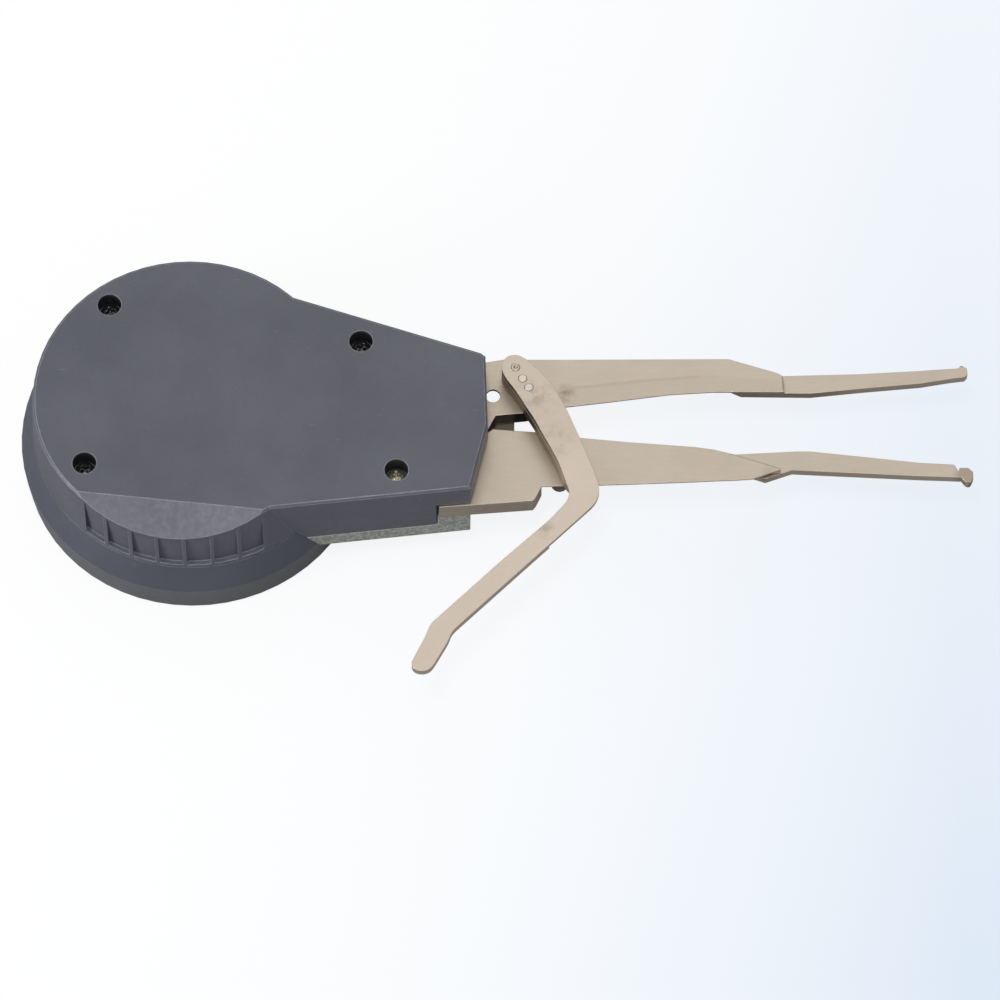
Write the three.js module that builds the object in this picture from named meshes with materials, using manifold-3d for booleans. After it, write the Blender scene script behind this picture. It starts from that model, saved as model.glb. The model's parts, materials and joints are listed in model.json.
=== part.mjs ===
// An inside dial caliper: a round dial gauge whose back cover carries two long
// measuring arms, one fixed and one swung by a trigger lever.
// Millimetres. Z runs along the dial's axis, from the front of the bezel to the
// back cover. X runs along the arms and Y points away from the trigger.

import * as THREE from 'three';
import { mergeVertices } from 'three/addons/utils/BufferGeometryUtils.js';
import Module from 'manifold-3d';

const wasm = await Module();
wasm.setup();

// Gaps that every piece shares
const seatGap = 0.3;
const slipGap = 0.1;
const overrun = 6;

// Facets of round pieces
const largeSteps = 60;
const cupSteps = 40;
const middleSteps = 24;
const smallSteps = 12;
const screwSteps = 16;
const ballSteps = 10;

// Bezel, crystal and dial
const bezelFrontRadius = 37.8;
const bezelFrontChamfer = 0.5;
const bezelCreaseRadius = 38.9;
const bezelCreaseHeight = 8.5;
const bezelTopRadius = 36;
const bezelHeight = 15.1;
const bezelLip = 0.6;
const bezelLipWidth = 0.5;
const crystalRadius = 34;
const crystalThickness = 1.8;
const crystalStep = 0.4;
const dialRadius = 31.1;
const dialThickness = 0.8;
const dialSpacerWidth = 1.1;
const dialSpacerHeight = 2.1;
const snapRingWidth = 0.9;
const snapRingHeight = 0.8;
const snapRingDrop = 1.8;
const snapRingSplit = 3;

// Cast frame
const cupRadius = 33.4;
const cupWall = 3.9;
const spigotStep = 2.4;
const cupLead = 0.5;
const dialRoom = 1.2;
const floorThickness = 1.5;
const deckThickness = 1.1;
const bezelRunRoom = 0.4;
const neckFrameHeight = 5.2;
const frameChamfer = 1;
const sideWall = 2;
const sideWallHeight = 4;
const sideWallLength = 15;
const postRadius = 3.2;
const frameEndInset = 3.8;
const slotDepth = 11.3;

// Back cover
const coverHeight = 13.5;
const coverTopRadius = 34.1;
const coverTopShift = 1;
const coverWall = 2;
const roofThickness = 2;
const edgeChamfer = 0.5;
const bossRadius = 3.6;
const bossRoom = 0.2;
const bossFloor = 2.1;
const counterboreRadius = 2.65;
const neckStartX = 14;
const neckLowY = -28.6;
const neckLength = 52;
const neckWidth = 54.3;
const neckShares = [
  [0.115, 1], [0.967, 0.731], [0.988, 0.715], [1, 0.401], [0.929, 0.105], [0, 0],
];

// Thumb facet and its grip ribs
const facetSlope = THREE.MathUtils.degToRad(20.4);
const facetHeading = THREE.MathUtils.degToRad(-5.9);
const facetDistance = 26.6;
const ribCount = 8;
const ribWidth = 0.9;
const ribFirstAngle = THREE.MathUtils.degToRad(-40.2);
const ribPitchAngle = THREE.MathUtils.degToRad(9.76);
const pocketFloorRadius = 34.8;
const pocketRoofRadius = 34.1;
const pocketLedge = 0.6;
const pocketRoofWall = 0.6;

// Cover screws
const roundScrewShares = { 1: [-0.5513, 0.6628], 3: [-0.6745, -0.5044] };
const farScrewInset = 28.4;
const farScrewShare = 0.779;
const nearScrewInset = 20.1;
const nearScrewShare = 0.186;
const coverScrewRadius = 1.2;
const coverScrewHeadRadius = 2.3;
const coverScrewHeadHeight = 1.8;
const coverScrewDome = 0.6;
const coverScrewReach = 7.6;
const crossWidth = 0.7;
const crossLength = 2.8;
const crossDepth = 0.9;
const screwHoleGap = 0.2;

// Pivot of the moving arm
const pivotInset = 7.3;
const pivotShare = 0.593;
const pivotPinRadius = 2;
const pivotPinDepth = 7.5;
const pivotHeadRadius = 3.5;
const pivotHeadHeight = 1;
const bushWall = 1;
const washerRadius = 3.6;
const washerThickness = 0.6;
const armTravel = THREE.MathUtils.degToRad(10.2);

// Moving arm
const movingThickness = 4.2;
const bladeThickness = 2.1;
const bladeEdge = 0.4;
const bladeBevel = 0.25;
const undercutShare = 0.6;
const crestShare = 0.2;
const hubRadius = 7.8;
const hubReach = 21.3;
const hubWidth = 9.6;
const hubShares = [
  [-0.103, 0.656], [0.329, 0.927], [0.507, 1], [1, 1], [1, -0.281], [0.734, -0.402],
  [0.425, -0.477], [0.34, -0.85], [0.183, -0.95], [0, -0.729],
];
const sightHoleRadius = 1.65;
const sightHoleShares = [0.394, 0.04];
const sightHoleSkin = 0.7;
const sightReliefRadius = 3.5;
const movingBladeRun = 55.7;
const movingBladeWidth = 13.4;
const movingBladeStart = 17.8;
const movingBladeDrop = 3.4;
const movingBladeShares = [
  { along: 0, top: 0.97, ridge: 0.388, low: 0 },
  { along: 0.129, top: 0.972, ridge: 0.455, low: 0.097 },
  { along: 0.266, top: 0.979, ridge: 0.5, low: 0.172 },
  { along: 0.539, top: 0.99, ridge: 0.642, low: 0.336 },
  { along: 0.711, top: 0.998, ridge: 0.687, low: 0.388 },
  { along: 0.777, top: 1, ridge: 0.68, low: 0.389 },
  { along: 0.806, top: 0.963, ridge: 0.66, low: 0.39 },
  { along: 0.975, top: 0.739, ridge: 0.6, low: 0.393 },
  { along: 0.993, top: 0.687, ridge: 0.575, low: 0.395 },
  { along: 1, top: 0.56, ridge: 0.5, low: 0.396 },
];

// Fixed arm
const fixedThickness = 4.7;
const fixedPlateBack = 8.7;
const fixedPlateLength = 28;
const fixedPlateDrop = 27.6;
const fixedPlateWidth = 19.7;
const fixedPlateShares = [
  [0, 0.152], [0.189, 0.162], [0.189, 0.005], [0.932, 0.096], [0.954, 0.137], [0.986, 0.234],
  [1, 0.279], [1, 0.959], [0.793, 0.98], [0.607, 1], [0, 0.863],
];
const hubRoomRadius = 11.5;
const fixedBladeThickness = 2;
const fixedBladeRun = 54.6;
const fixedBladeLap = 1.5;
const fixedBladeWidth = 13.7;
const fixedBladeRise = 5.4;
const fixedBladeShares = [
  { along: 0, top: 1, low: 0 },
  { along: 0.187, top: 0.891, low: 0.026 },
  { along: 0.381, top: 0.818, low: 0.055 },
  { along: 0.65, top: 0.737, low: 0.104 },
  { along: 0.727, top: 0.693, low: 0.124 },
  { along: 0.817, top: 0.599, low: 0.139 },
  { along: 0.885, top: 0.507, low: 0.161 },
  { along: 1, top: 0.355, low: 0.335 },
];
const lipReach = 9.3;
const lipWidth = 8.5;
const lipAhead = 3.9;
const lipDrop = 2.6;
const lipThickness = 1.1;
const lipLap = 0.3;
const armScrewShares = { 1: [0.25, 0.2893], 2: [0.1143, 0.6599] };
const armScrewRadius = 1.2;
const armScrewHeadRadius = 2;
const armScrewHeadHeight = 1.3;
const armScrewReach = 9.6;
const stopPinRadius = 1.9;
const stopPinLength = 3.5;
const stopPinAlongShare = 0.101;
const stopPinAcrossShare = 0.2;

// Measuring legs under the ends of both arms
const legThickness = 2.1;
const fixedLegOverlap = 13.6;
const fixedLegLength = 56.5;
const fixedLegWidth = 7.8;
const fixedLegRise = 2.4;
const fixedLegShares = [
  [0.018, 0.41], [0.126, 0.256], [0.182, 0.115], [0.287, 0.397], [0.554, 0.308], [0.789, 0.231],
  [0.954, 0.192], [0.97, 0.038], [0.989, 0.038], [1, 0.179], [1, 0.372], [0.981, 0.5],
  [0.947, 0.5], [0.942, 0.385], [0.927, 0.603], [0.791, 0.654], [0.556, 0.846], [0.359, 1],
  [0.308, 1], [0, 0.859],
];
const fixedRivetShares = [[0.22, 0.56], [0.59, 0.43]];
const movingLegOverlap = 12.7;
const movingLegLength = 54;
const movingLegWidth = 7;
const movingLegRise = 6;
const movingLegShares = [
  [0, 0.571], [0.02, 0.157], [0.059, 0.014], [0.346, 0], [0.554, 0.186], [0.804, 0.386],
  [0.924, 0.557], [0.989, 0.629], [1, 0.743], [0.998, 0.943], [0.985, 1], [0.97, 1],
  [0.961, 0.943], [0.804, 0.843], [0.554, 0.714], [0.241, 0.629],
];
const movingRivetShares = [[0.3, 0.4], [0.72, 0.36]];
const legRivetRadius = 0.8;
const legRivetReach = 3.4;
const contactRadius = 0.75;
const contactRecess = 0.1;
const fixedContactShare = 0.98;
const movingContactShare = 0.9775;

// Trigger lever
const leverThickness = 1.9;
const leverRise = 3.2;
const leverStartX = 10.2;
const leverLowY = -70.4;
const leverWidth = 21.8;
const leverHeight = 78.3;
const leverShares = [
  [0, 0.957], [0.032, 0.93], [0.151, 0.884], [0.261, 0.831], [0.353, 0.788], [0.417, 0.751],
  [0.509, 0.702], [0.587, 0.658], [0.679, 0.579], [0.697, 0.561], [0.679, 0.533], [0.495, 0.473],
  [0.018, 0.346], [-0.61, 0.17], [-0.693, 0.148], [-0.748, 0.105], [-0.858, 0.042],
  [-0.885, 0.023], [-0.853, 0.006], [-0.775, 0], [-0.702, 0.006], [-0.661, 0.019],
  [-0.509, 0.097], [-0.482, 0.123], [0.317, 0.346], [0.775, 0.473], [0.95, 0.522],
  [0.995, 0.55], [1, 0.579], [0.95, 0.625], [0.803, 0.733], [0.661, 0.829], [0.514, 0.908],
  [0.349, 0.96], [0.239, 0.989], [0.151, 1], [0.06, 0.994], [0.014, 0.976],
];
const spacerShares = [
  [0, 0.957], [0.032, 0.93], [0.151, 0.884], [0.261, 0.831], [0.353, 0.788], [0.417, 0.751],
  [0.509, 0.702], [0.587, 0.658], [0.642, 0.611], [0.688, 0.593], [0.752, 0.59], [0.798, 0.608],
  [0.784, 0.639], [0.693, 0.715], [0.555, 0.81], [0.445, 0.884], [0.335, 0.945],
  [0.239, 0.983], [0.151, 1], [0.06, 0.994], [0.014, 0.976],
];
const leverReliefStart = 0.395;
const leverReliefEnd = 0.57;
const leverReliefDepth = 0.9;
const leverRivetShares = { 1: [0.147, 0.958], 2: [0.22, 0.922], 3: [0.284, 0.894] };
const leverRivetRadius = 0.92;
const leverRivetFoot = 0.2;
const rivetProud = 0.1;
const rivetCupRadius = 0.5;

// Gear train
const sectorModule = 0.5;
const idlerPinionTeeth = 14;
const wheelModule = 0.4;
const idlerWheelTeeth = 80;
const centrePinionTeeth = 12;
const pressureAngle = THREE.MathUtils.degToRad(20);
const wheelAddendumShare = 0.8;
const pinionAddendumShare = 0.9;
const dedendumShare = 1.25;
const backlash = 0.06;
const idlerHeading = THREE.MathUtils.degToRad(-13.02);
const sectorThickness = 1.5;
const sectorRimWidth = 1.8;
const sectorWebHalf = 4.8;
const sectorSlotHalf = 1.6;
const sectorSlotStartShare = 0.62;
const sectorSlotEndShare = 0.86;
const sectorHubRadius = 4.7;
const sectorScrewOffset = 5.4;
const sectorScrewSpread = THREE.MathUtils.degToRad(34);
const sectorScrewRadius = 0.65;
const sectorScrewHeadRadius = 1.2;
const sectorScrewHeadHeight = 0.9;
const sectorScrewReach = 4.5;
const sectorMarginTeeth = 1;
const idlerPinionHeight = 2.8;
const idlerPinionDrop = 0.6;
const arborRadius = 0.8;
const pivotRadius = 0.75;
const wheelThickness = 1;
const wheelTop = 2.2;
const wheelHubRadius = 3;
const wheelHubHeight = 2;
const wheelRimWidth = 1.9;
const wheelHubWeb = 1.5;
const spokeCount = 5;
const spokeHalf = 1;
const windowSteps = 5;
const centrePinionHeight = 2.2;
const centrePinionRise = 0.6;

// Hairspring
const colletRadius = 1.6;
const colletHeight = 1.8;
const colletRise = 3.9;
const hairspringStart = 1.9;
const hairspringEnd = 6.3;
const hairspringTurns = 4;
const hairspringTurnSteps = 14;
const hairspringWidth = 0.8;
const hairspringStrip = 0.16;
const studRadius = 0.7;

// Bridge plate and pillars
const bridgeHeadRoom = 1.1;
const bridgeThickness = 1.2;
const bridgeCornerRadius = 3.2;
const pillarShares = { 1: [0.4068, -0.8136], 2: [0.678, 0.6102], 3: [-0.4746, 0.4068] };
const pillarRadius = 1.8;
const bridgeScrewRadius = 0.7;
const bridgeScrewHeadRadius = 1.4;
const bridgeScrewHeadHeight = 0.6;
const bridgeScrewReach = 4;

// Return spring and stops
const springPostShare = 0.5605;
const springPostTurn = THREE.MathUtils.degToRad(5.1);
const springPostRadius = 0.7;
const springPostFoot = 3.2;
const springAnchorShare = 0.1768;
const springWire = 0.4;
const springCoilRadius = 1.4;
const springPitch = 0.95;
const springTurns = 9;
const springTurnSteps = 8;
const springHookSteps = 4;
const springSides = 5;
const springDrop = 1.9;
const stopInset = 2.2;
const stopRadius = 0.8;
const stopRise = 1;

// Pointer
const pointerThickness = 0.8;
const pointerRoom = 0.7;
const pointerLength = 25;
const pointerTail = 7;
const pointerTipHalf = 0.2;
const pointerRootHalf = 0.8;
const pointerBossRadius = 2;
const pointerCapRadius = 1.5;
const pointerCapHeight = 0.5;

// Heights that follow from the stack
const crystalShoulder = bezelLip + seatGap;
const crystalFront = crystalShoulder - crystalStep;
const crystalBack = crystalShoulder + crystalThickness;
const spacerFront = crystalBack + seatGap;
const dialFront = spacerFront + dialSpacerHeight + seatGap;
const dialBack = dialFront + dialThickness;
const cupFront = crystalBack + cupLead;
const floorUnder = dialBack + dialRoom;
const floorTop = floorUnder + floorThickness;
const snapRingTop = bezelHeight - snapRingDrop;
const snapRingUnder = snapRingTop - snapRingHeight;
const coverUnder = bezelHeight + seatGap;
const deckTop = coverUnder + deckThickness;
const frameTop = floorUnder + neckFrameHeight;
const coverTop = coverUnder + coverHeight;
const roofUnder = coverTop - roofThickness;
const armSeat = deckTop + slipGap;
const fixedTop = armSeat + fixedThickness;
const movingUnder = armSeat + washerThickness + slipGap;
const movingTop = movingUnder + movingThickness;
const slotTop = movingTop + seatGap;
const sectorTop = slotTop + sectorThickness;
const bladeUnder = movingTop - bladeThickness;
const legTop = bladeUnder - 2 * slipGap;
const legUnder = legTop - legThickness;
const leverUnder = slotTop + leverRise + seatGap;
const leverTop = leverUnder + leverThickness;
const bossUnder = slotTop + bossRoom;
const headSeat = bossUnder + bossFloor;
const postTop = bossUnder - seatGap;
const bridgeTop = roofUnder - bridgeHeadRoom;
const bridgeUnder = bridgeTop - bridgeThickness;
const wheelUnder = slotTop - wheelTop - wheelThickness;

// Places that follow from the sizes
const neckEndX = neckStartX + neckLength;
const slotStartX = neckEndX - slotDepth;
const frameEndX = neckEndX - frameEndInset;
const pivotX = neckEndX - pivotInset;
const pivotY = neckLowY + pivotShare * neckWidth;
const pivot = new THREE.Vector2(pivotX, pivotY);
const fixedPlateStart = pivotX - fixedPlateBack;
const fixedPlateLow = pivotY - fixedPlateDrop;
const cupInner = cupRadius - cupWall;
const centreDistance = wheelModule * (idlerWheelTeeth + centrePinionTeeth) / 2;
const idlerAxis = polar(new THREE.Vector2(), centreDistance, idlerHeading);
const idlerPinionPitch = sectorModule * idlerPinionTeeth / 2;
const sectorPitch = pivot.distanceTo(idlerAxis) - idlerPinionPitch;
const meshHeading = Math.atan2(idlerAxis.y - pivotY, idlerAxis.x - pivotX);
const sectorToothAngle = sectorModule / sectorPitch * Math.PI;
const sectorHeading = meshHeading + armTravel / 2;

// Colours
const coverPaint = metal(0x626670, 0.5, 0.3);
const castMetal = metal(0xa8a59c, 0.75, 0.4);
const bezelPaint = metal(0x5a5c6c, 0.5, 0.3);
const nickel = metal(0xc8b9a5, 0.35, 0.9);
const steel = metal(0x8e9298, 0.35, 0.9);
const darkSteel = metal(0x3c3a3a, 0.45, 0.8);
const brass = metal(0xb89656, 0.35, 0.9);
const glass = metal(0xdfe8ea, 0.05, 0);
const dialWhite = metal(0xf2f0e8, 0.6, 0);
const pointerBlack = metal(0x1c1c1e, 0.5, 0.1);

function metal(color, roughness, metalness) {
  return new THREE.MeshStandardMaterial({ color, roughness, metalness });
}

function polar(centre, radius, angle) {
  return new THREE.Vector2(radius * Math.cos(angle), radius * Math.sin(angle)).add(centre);
}

// A closed three.js geometry as a solid that can be joined and cut
function solid(geometry) {
  const bare = new THREE.BufferGeometry();
  bare.setAttribute('position', geometry.getAttribute('position'));
  if (geometry.index) bare.setIndex(geometry.index);
  const merged = mergeVertices(bare);
  const place = merged.getAttribute('position');
  const faces = [];
  let volume = 0;
  for (let k = 0; k < merged.index.count; k += 3) {
    const corner = [0, 1, 2].map((n) => merged.index.getX(k + n));
    if (new Set(corner).size === 3) {
      const [a, b, c] = corner.map((n) => new THREE.Vector3().fromBufferAttribute(place, n));
      volume += a.dot(b.cross(c));
      faces.push(corner);
    }
  }
  const outward = volume < 0 ? faces.map(([a, b, c]) => [a, c, b]) : faces;
  return new wasm.Manifold(new wasm.Mesh({
    numProp: 3,
    vertProperties: Float32Array.from(place.array),
    triVerts: Uint32Array.from(outward.flat()),
  }));
}

function prism(points, bottom, top) {
  const shape = new THREE.Shape(points);
  const geometry = new THREE.ExtrudeGeometry(shape, { depth: top - bottom, bevelEnabled: false });
  geometry.translate(0, 0, bottom);
  return solid(geometry);
}

// A profile of [radius, height] pairs turned about an upright axis
function revolve(profile, centre = new THREE.Vector2(), steps = smallSteps) {
  const points = profile.map(([radius, height]) => new THREE.Vector2(radius, height));
  const geometry = new THREE.LatheGeometry(points, steps);
  geometry.rotateX(Math.PI / 2);
  geometry.translate(centre.x, centre.y, 0);
  return solid(geometry);
}

function disc(centre, radius, bottom, top, steps = smallSteps) {
  return revolve([[0, bottom], [radius, bottom], [radius, top], [0, top]], centre, steps);
}

function ring(centre, inner, outer, bottom, top, steps = smallSteps) {
  const profile = [[inner, bottom], [outer, bottom], [outer, top], [inner, top], [inner, bottom]];
  return revolve(profile, centre, steps);
}

// A closed form through rings of as many points each
function loft(rings, flat) {
  const count = rings[0].length;
  const faces = [];
  for (let level = 1; level < rings.length; level += 1) {
    for (let k = 0; k < count; k += 1) {
      const next = (k + 1) % count;
      const low = (level - 1) * count;
      const high = level * count;
      faces.push(low + k, low + next, high + next, low + k, high + next, high + k);
    }
  }
  const last = (rings.length - 1) * count;
  const caps = [rings[0], rings[rings.length - 1]].map((points) => {
    const contour = points.map((point) => new THREE.Vector2(point[flat[0]], point[flat[1]]));
    return THREE.ShapeUtils.triangulateShape(contour, []);
  });
  caps[0].forEach(([a, b, c]) => faces.push(a, c, b));
  caps[1].forEach(([a, b, c]) => faces.push(last + a, last + b, last + c));
  const geometry = new THREE.BufferGeometry();
  geometry.setFromPoints(rings.flat());
  geometry.setIndex(faces);
  return solid(geometry);
}

function level(points, height) {
  return points.map((point) => new THREE.Vector3(point.x, point.y, height));
}

function circle(centre, radius, steps) {
  const turn = 2 * Math.PI / steps;
  return Array.from({ length: steps }, (_, k) => polar(centre, radius, k * turn));
}

// A form that widens or narrows with height, from [points, height] levels
function upright(levels) {
  return loft(levels.map(([points, height]) => level(points, height)), ['x', 'y']);
}

function outline(shares, x, y, length, width) {
  const points = shares.map(([along, across]) => (
    new THREE.Vector2(x + along * length, y + across * width)));
  return THREE.ShapeUtils.isClockWise(points) ? points.reverse() : points;
}

// The point where the lines a-b and c-d cross
function crossing(a, b, c, d) {
  const first = b.clone().sub(a);
  const second = d.clone().sub(c);
  const share = c.clone().sub(a).cross(second) / first.cross(second);
  return first.multiplyScalar(share).add(a);
}

// An anticlockwise outline drawn in by a distance, which loses edges that close up
function inset(points, distance) {
  const count = points.length;
  const at = (list, k) => list[(k + count) % count];
  const drawn = points.map((point, k) => {
    const first = point.clone().sub(at(points, k - 1)).normalize();
    const second = at(points, k + 1).clone().sub(point).normalize();
    const reach = distance / (1 + first.dot(second));
    return new THREE.Vector2(-first.y - second.y, first.x + second.x)
      .multiplyScalar(reach).add(point);
  });
  const closed = points.findIndex((point, k) => {
    const before = at(points, k + 1).clone().sub(point);
    return before.dot(at(drawn, k + 1).clone().sub(drawn[k])) <= 0;
  });
  if (closed < 0) return drawn;
  const corner = crossing(at(points, closed - 1), points[closed],
    at(points, closed + 1), at(points, closed + 2));
  const rest = points.map((point, k) => (k === closed ? corner : point));
  rest.splice((closed + 1) % count, 1);
  return inset(rest, distance);
}

// A straight bar with round ends
function link(from, to, radius, bottom, top) {
  const heading = Math.atan2(to.y - from.y, to.x - from.x);
  const points = [];
  for (let k = 0; k <= smallSteps / 2; k += 1) {
    points.push(polar(to, radius, heading - Math.PI / 2 + k * 2 * Math.PI / smallSteps));
  }
  for (let k = 0; k <= smallSteps / 2; k += 1) {
    points.push(polar(from, radius, heading + Math.PI / 2 + k * 2 * Math.PI / smallSteps));
  }
  return prism(points, bottom, top);
}

// An anticlockwise convex outline widened all round, with round corners
function padded(points, radius) {
  const count = points.length;
  return points.flatMap((point, k) => {
    const into = point.clone().sub(points[(k + count - 1) % count]).angle();
    const away = points[(k + 1) % count].clone().sub(point).angle();
    const turn = (away - into + 2 * Math.PI) % (2 * Math.PI);
    return Array.from({ length: windowSteps + 1 }, (_, n) => (
      polar(point, radius, into - Math.PI / 2 + turn * n / windowSteps)));
  });
}

function box(from, to) {
  const size = to.clone().sub(from);
  const geometry = new THREE.BoxGeometry(size.x, size.y, size.z);
  geometry.translate(from.x + size.x / 2, from.y + size.y / 2, from.z + size.z / 2);
  return solid(geometry);
}

function joined(pieces) {
  return pieces.reduce((whole, piece) => whole.add(piece));
}

function cut(body, pieces) {
  return pieces.reduce((rest, piece) => rest.subtract(piece), body);
}

// Numbered places, as shares of a length and a width from a corner
function spots(shares, x, y, length, width) {
  return Object.entries(shares).map(([number, [along, across]]) => (
    [number, new THREE.Vector2(x + along * length, y + across * width)]));
}

const coverScrewPlaces = {
  ...Object.fromEntries(spots(roundScrewShares, 0, 0, coverTopRadius, coverTopRadius)),
  2: new THREE.Vector2(neckEndX - farScrewInset, neckLowY + farScrewShare * neckWidth),
  4: new THREE.Vector2(neckEndX - nearScrewInset, neckLowY + nearScrewShare * neckWidth),
};
const armScrewPlaces = Object.fromEntries(spots(
  armScrewShares, fixedPlateStart, fixedPlateLow, fixedPlateLength, fixedPlateWidth));
const pillarPlaces = Object.fromEntries(spots(pillarShares, 0, 0, cupInner, cupInner));

const caliper = new THREE.Group();

function part(name, body, material) {
  const mesh = body.getMesh();
  const geometry = new THREE.BufferGeometry();
  geometry.setAttribute('position', new THREE.BufferAttribute(mesh.vertProperties, 3));
  geometry.setIndex(new THREE.BufferAttribute(mesh.triVerts, 1));
  geometry.computeVertexNormals();
  const piece = new THREE.Mesh(geometry, material);
  piece.name = name;
  caliper.add(piece);
}

// The block above the thumb facet's plane, which can be lowered into the wall
function aboveFacet(lowering) {
  const span = 4 * bezelCreaseRadius;
  const geometry = new THREE.BoxGeometry(span, span, span);
  geometry.translate(0, 0, span / 2);
  geometry.rotateX(facetSlope);
  const chord = polar(new THREE.Vector2(), facetDistance, facetHeading - Math.PI / 2);
  geometry.rotateZ(facetHeading);
  geometry.translate(chord.x, chord.y, coverTop - lowering);
  return solid(geometry);
}

function neckOutline() {
  return outline(neckShares, neckStartX, neckLowY, neckLength, neckWidth);
}

// The room that the turning bezel takes, which narrows with its cone
function bezelRoom(room, bottom) {
  return revolve([
    [0, bottom],
    [bezelCreaseRadius + room, bottom],
    [bezelCreaseRadius + room, bezelCreaseHeight],
    [bezelTopRadius + room, bezelHeight],
    [bezelTopRadius + room, coverUnder],
    [0, coverUnder],
  ], new THREE.Vector2(), largeSteps);
}

// Pockets between the grip ribs, cut into the wall below the facet
function gripPockets(shift) {
  const floor = coverUnder + pocketLedge;
  const ribPlace = (n) => bezelTopRadius * Math.sin(ribFirstAngle + n * ribPitchAngle);
  const slots = Array.from({ length: ribCount - 1 }, (_, n) => box(
    new THREE.Vector3(ribPlace(n) + ribWidth / 2, -bezelCreaseRadius - overrun, floor),
    new THREE.Vector3(ribPlace(n + 1) - ribWidth / 2, 0, coverTop + overrun),
  ));
  const core = upright([
    [circle(new THREE.Vector2(), pocketFloorRadius, largeSteps), coverUnder],
    [circle(shift, pocketRoofRadius, largeSteps), coverTop + edgeChamfer],
    [circle(shift, pocketRoofRadius, largeSteps), coverTop + 2 * overrun],
  ]);
  const above = aboveFacet(pocketRoofWall);
  return slots.map((slot) => cut(slot, [core, above]));
}

function makeBackCover() {
  const shift = new THREE.Vector2(-coverTopShift, 0);
  const shoulder = coverTop - edgeChamfer;
  const round = upright([
    [circle(new THREE.Vector2(), bezelTopRadius, largeSteps), coverUnder],
    [circle(shift, coverTopRadius, largeSteps), shoulder],
    [circle(shift, coverTopRadius - edgeChamfer, largeSteps), coverTop],
  ]);
  const neck = upright([
    [neckOutline(), frameTop + seatGap],
    [neckOutline(), shoulder],
    [inset(neckOutline(), edgeChamfer), coverTop],
  ]);
  const armSlot = box(
    new THREE.Vector3(slotStartX, neckLowY - overrun, floorUnder),
    new THREE.Vector3(neckEndX + overrun, -neckLowY, slotTop),
  );
  const innerRadius = coverTopRadius - coverWall;
  const cavity = joined([
    disc(shift, innerRadius, floorUnder, roofUnder, largeSteps),
    prism(inset(neckOutline(), coverWall), floorUnder, roofUnder),
  ]).subtract(aboveFacet(roofThickness + slipGap));
  const turningRoom = bezelRoom(bezelRunRoom - slipGap, floorUnder);
  const shell = cut(joined([round, neck]), [turningRoom, armSlot, cavity, aboveFacet(0)]);
  const places = Object.values(coverScrewPlaces);
  const bosses = places.map((at) => disc(at, bossRadius, bossUnder, roofUnder + slipGap));
  const bores = places.flatMap((at) => [
    disc(at, counterboreRadius, headSeat, coverTop + overrun, middleSteps),
    disc(at, coverScrewRadius + screwHoleGap, floorTop, coverTop),
  ]);
  const cover = cut(joined([shell, ...bosses]), [...bores, ...gripPockets(shift)]);
  part('back_cover', cover, coverPaint);
}

function makeCoverScrews() {
  const dome = coverScrewDome;
  const headTop = headSeat + coverScrewHeadHeight;
  for (const [number, at] of Object.entries(coverScrewPlaces)) {
    const body = revolve([
      [0, headSeat - coverScrewReach],
      [coverScrewRadius - slipGap, headSeat - coverScrewReach],
      [coverScrewRadius, headSeat - coverScrewReach + coverScrewRadius],
      [coverScrewRadius, headSeat],
      [coverScrewHeadRadius, headSeat],
      [coverScrewHeadRadius, headTop - dome],
      [coverScrewHeadRadius - dome, headTop - dome / 3],
      [coverScrewHeadRadius / 3, headTop],
      [0, headTop],
    ], at, screwSteps);
    const bars = [[crossLength, crossWidth], [crossWidth, crossLength]].map(([length, width]) => box(
      new THREE.Vector3(at.x - length / 2, at.y - width / 2, headTop - crossDepth),
      new THREE.Vector3(at.x + length / 2, at.y + width / 2, headTop + overrun),
    ));
    part(`cover_screw_${number}`, cut(body, bars), steel);
  }
}

function webPlace(along, across, turn) {
  const heading = sectorHeading + turn;
  return polar(polar(pivot, along, heading), across, heading + Math.PI / 2);
}

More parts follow.
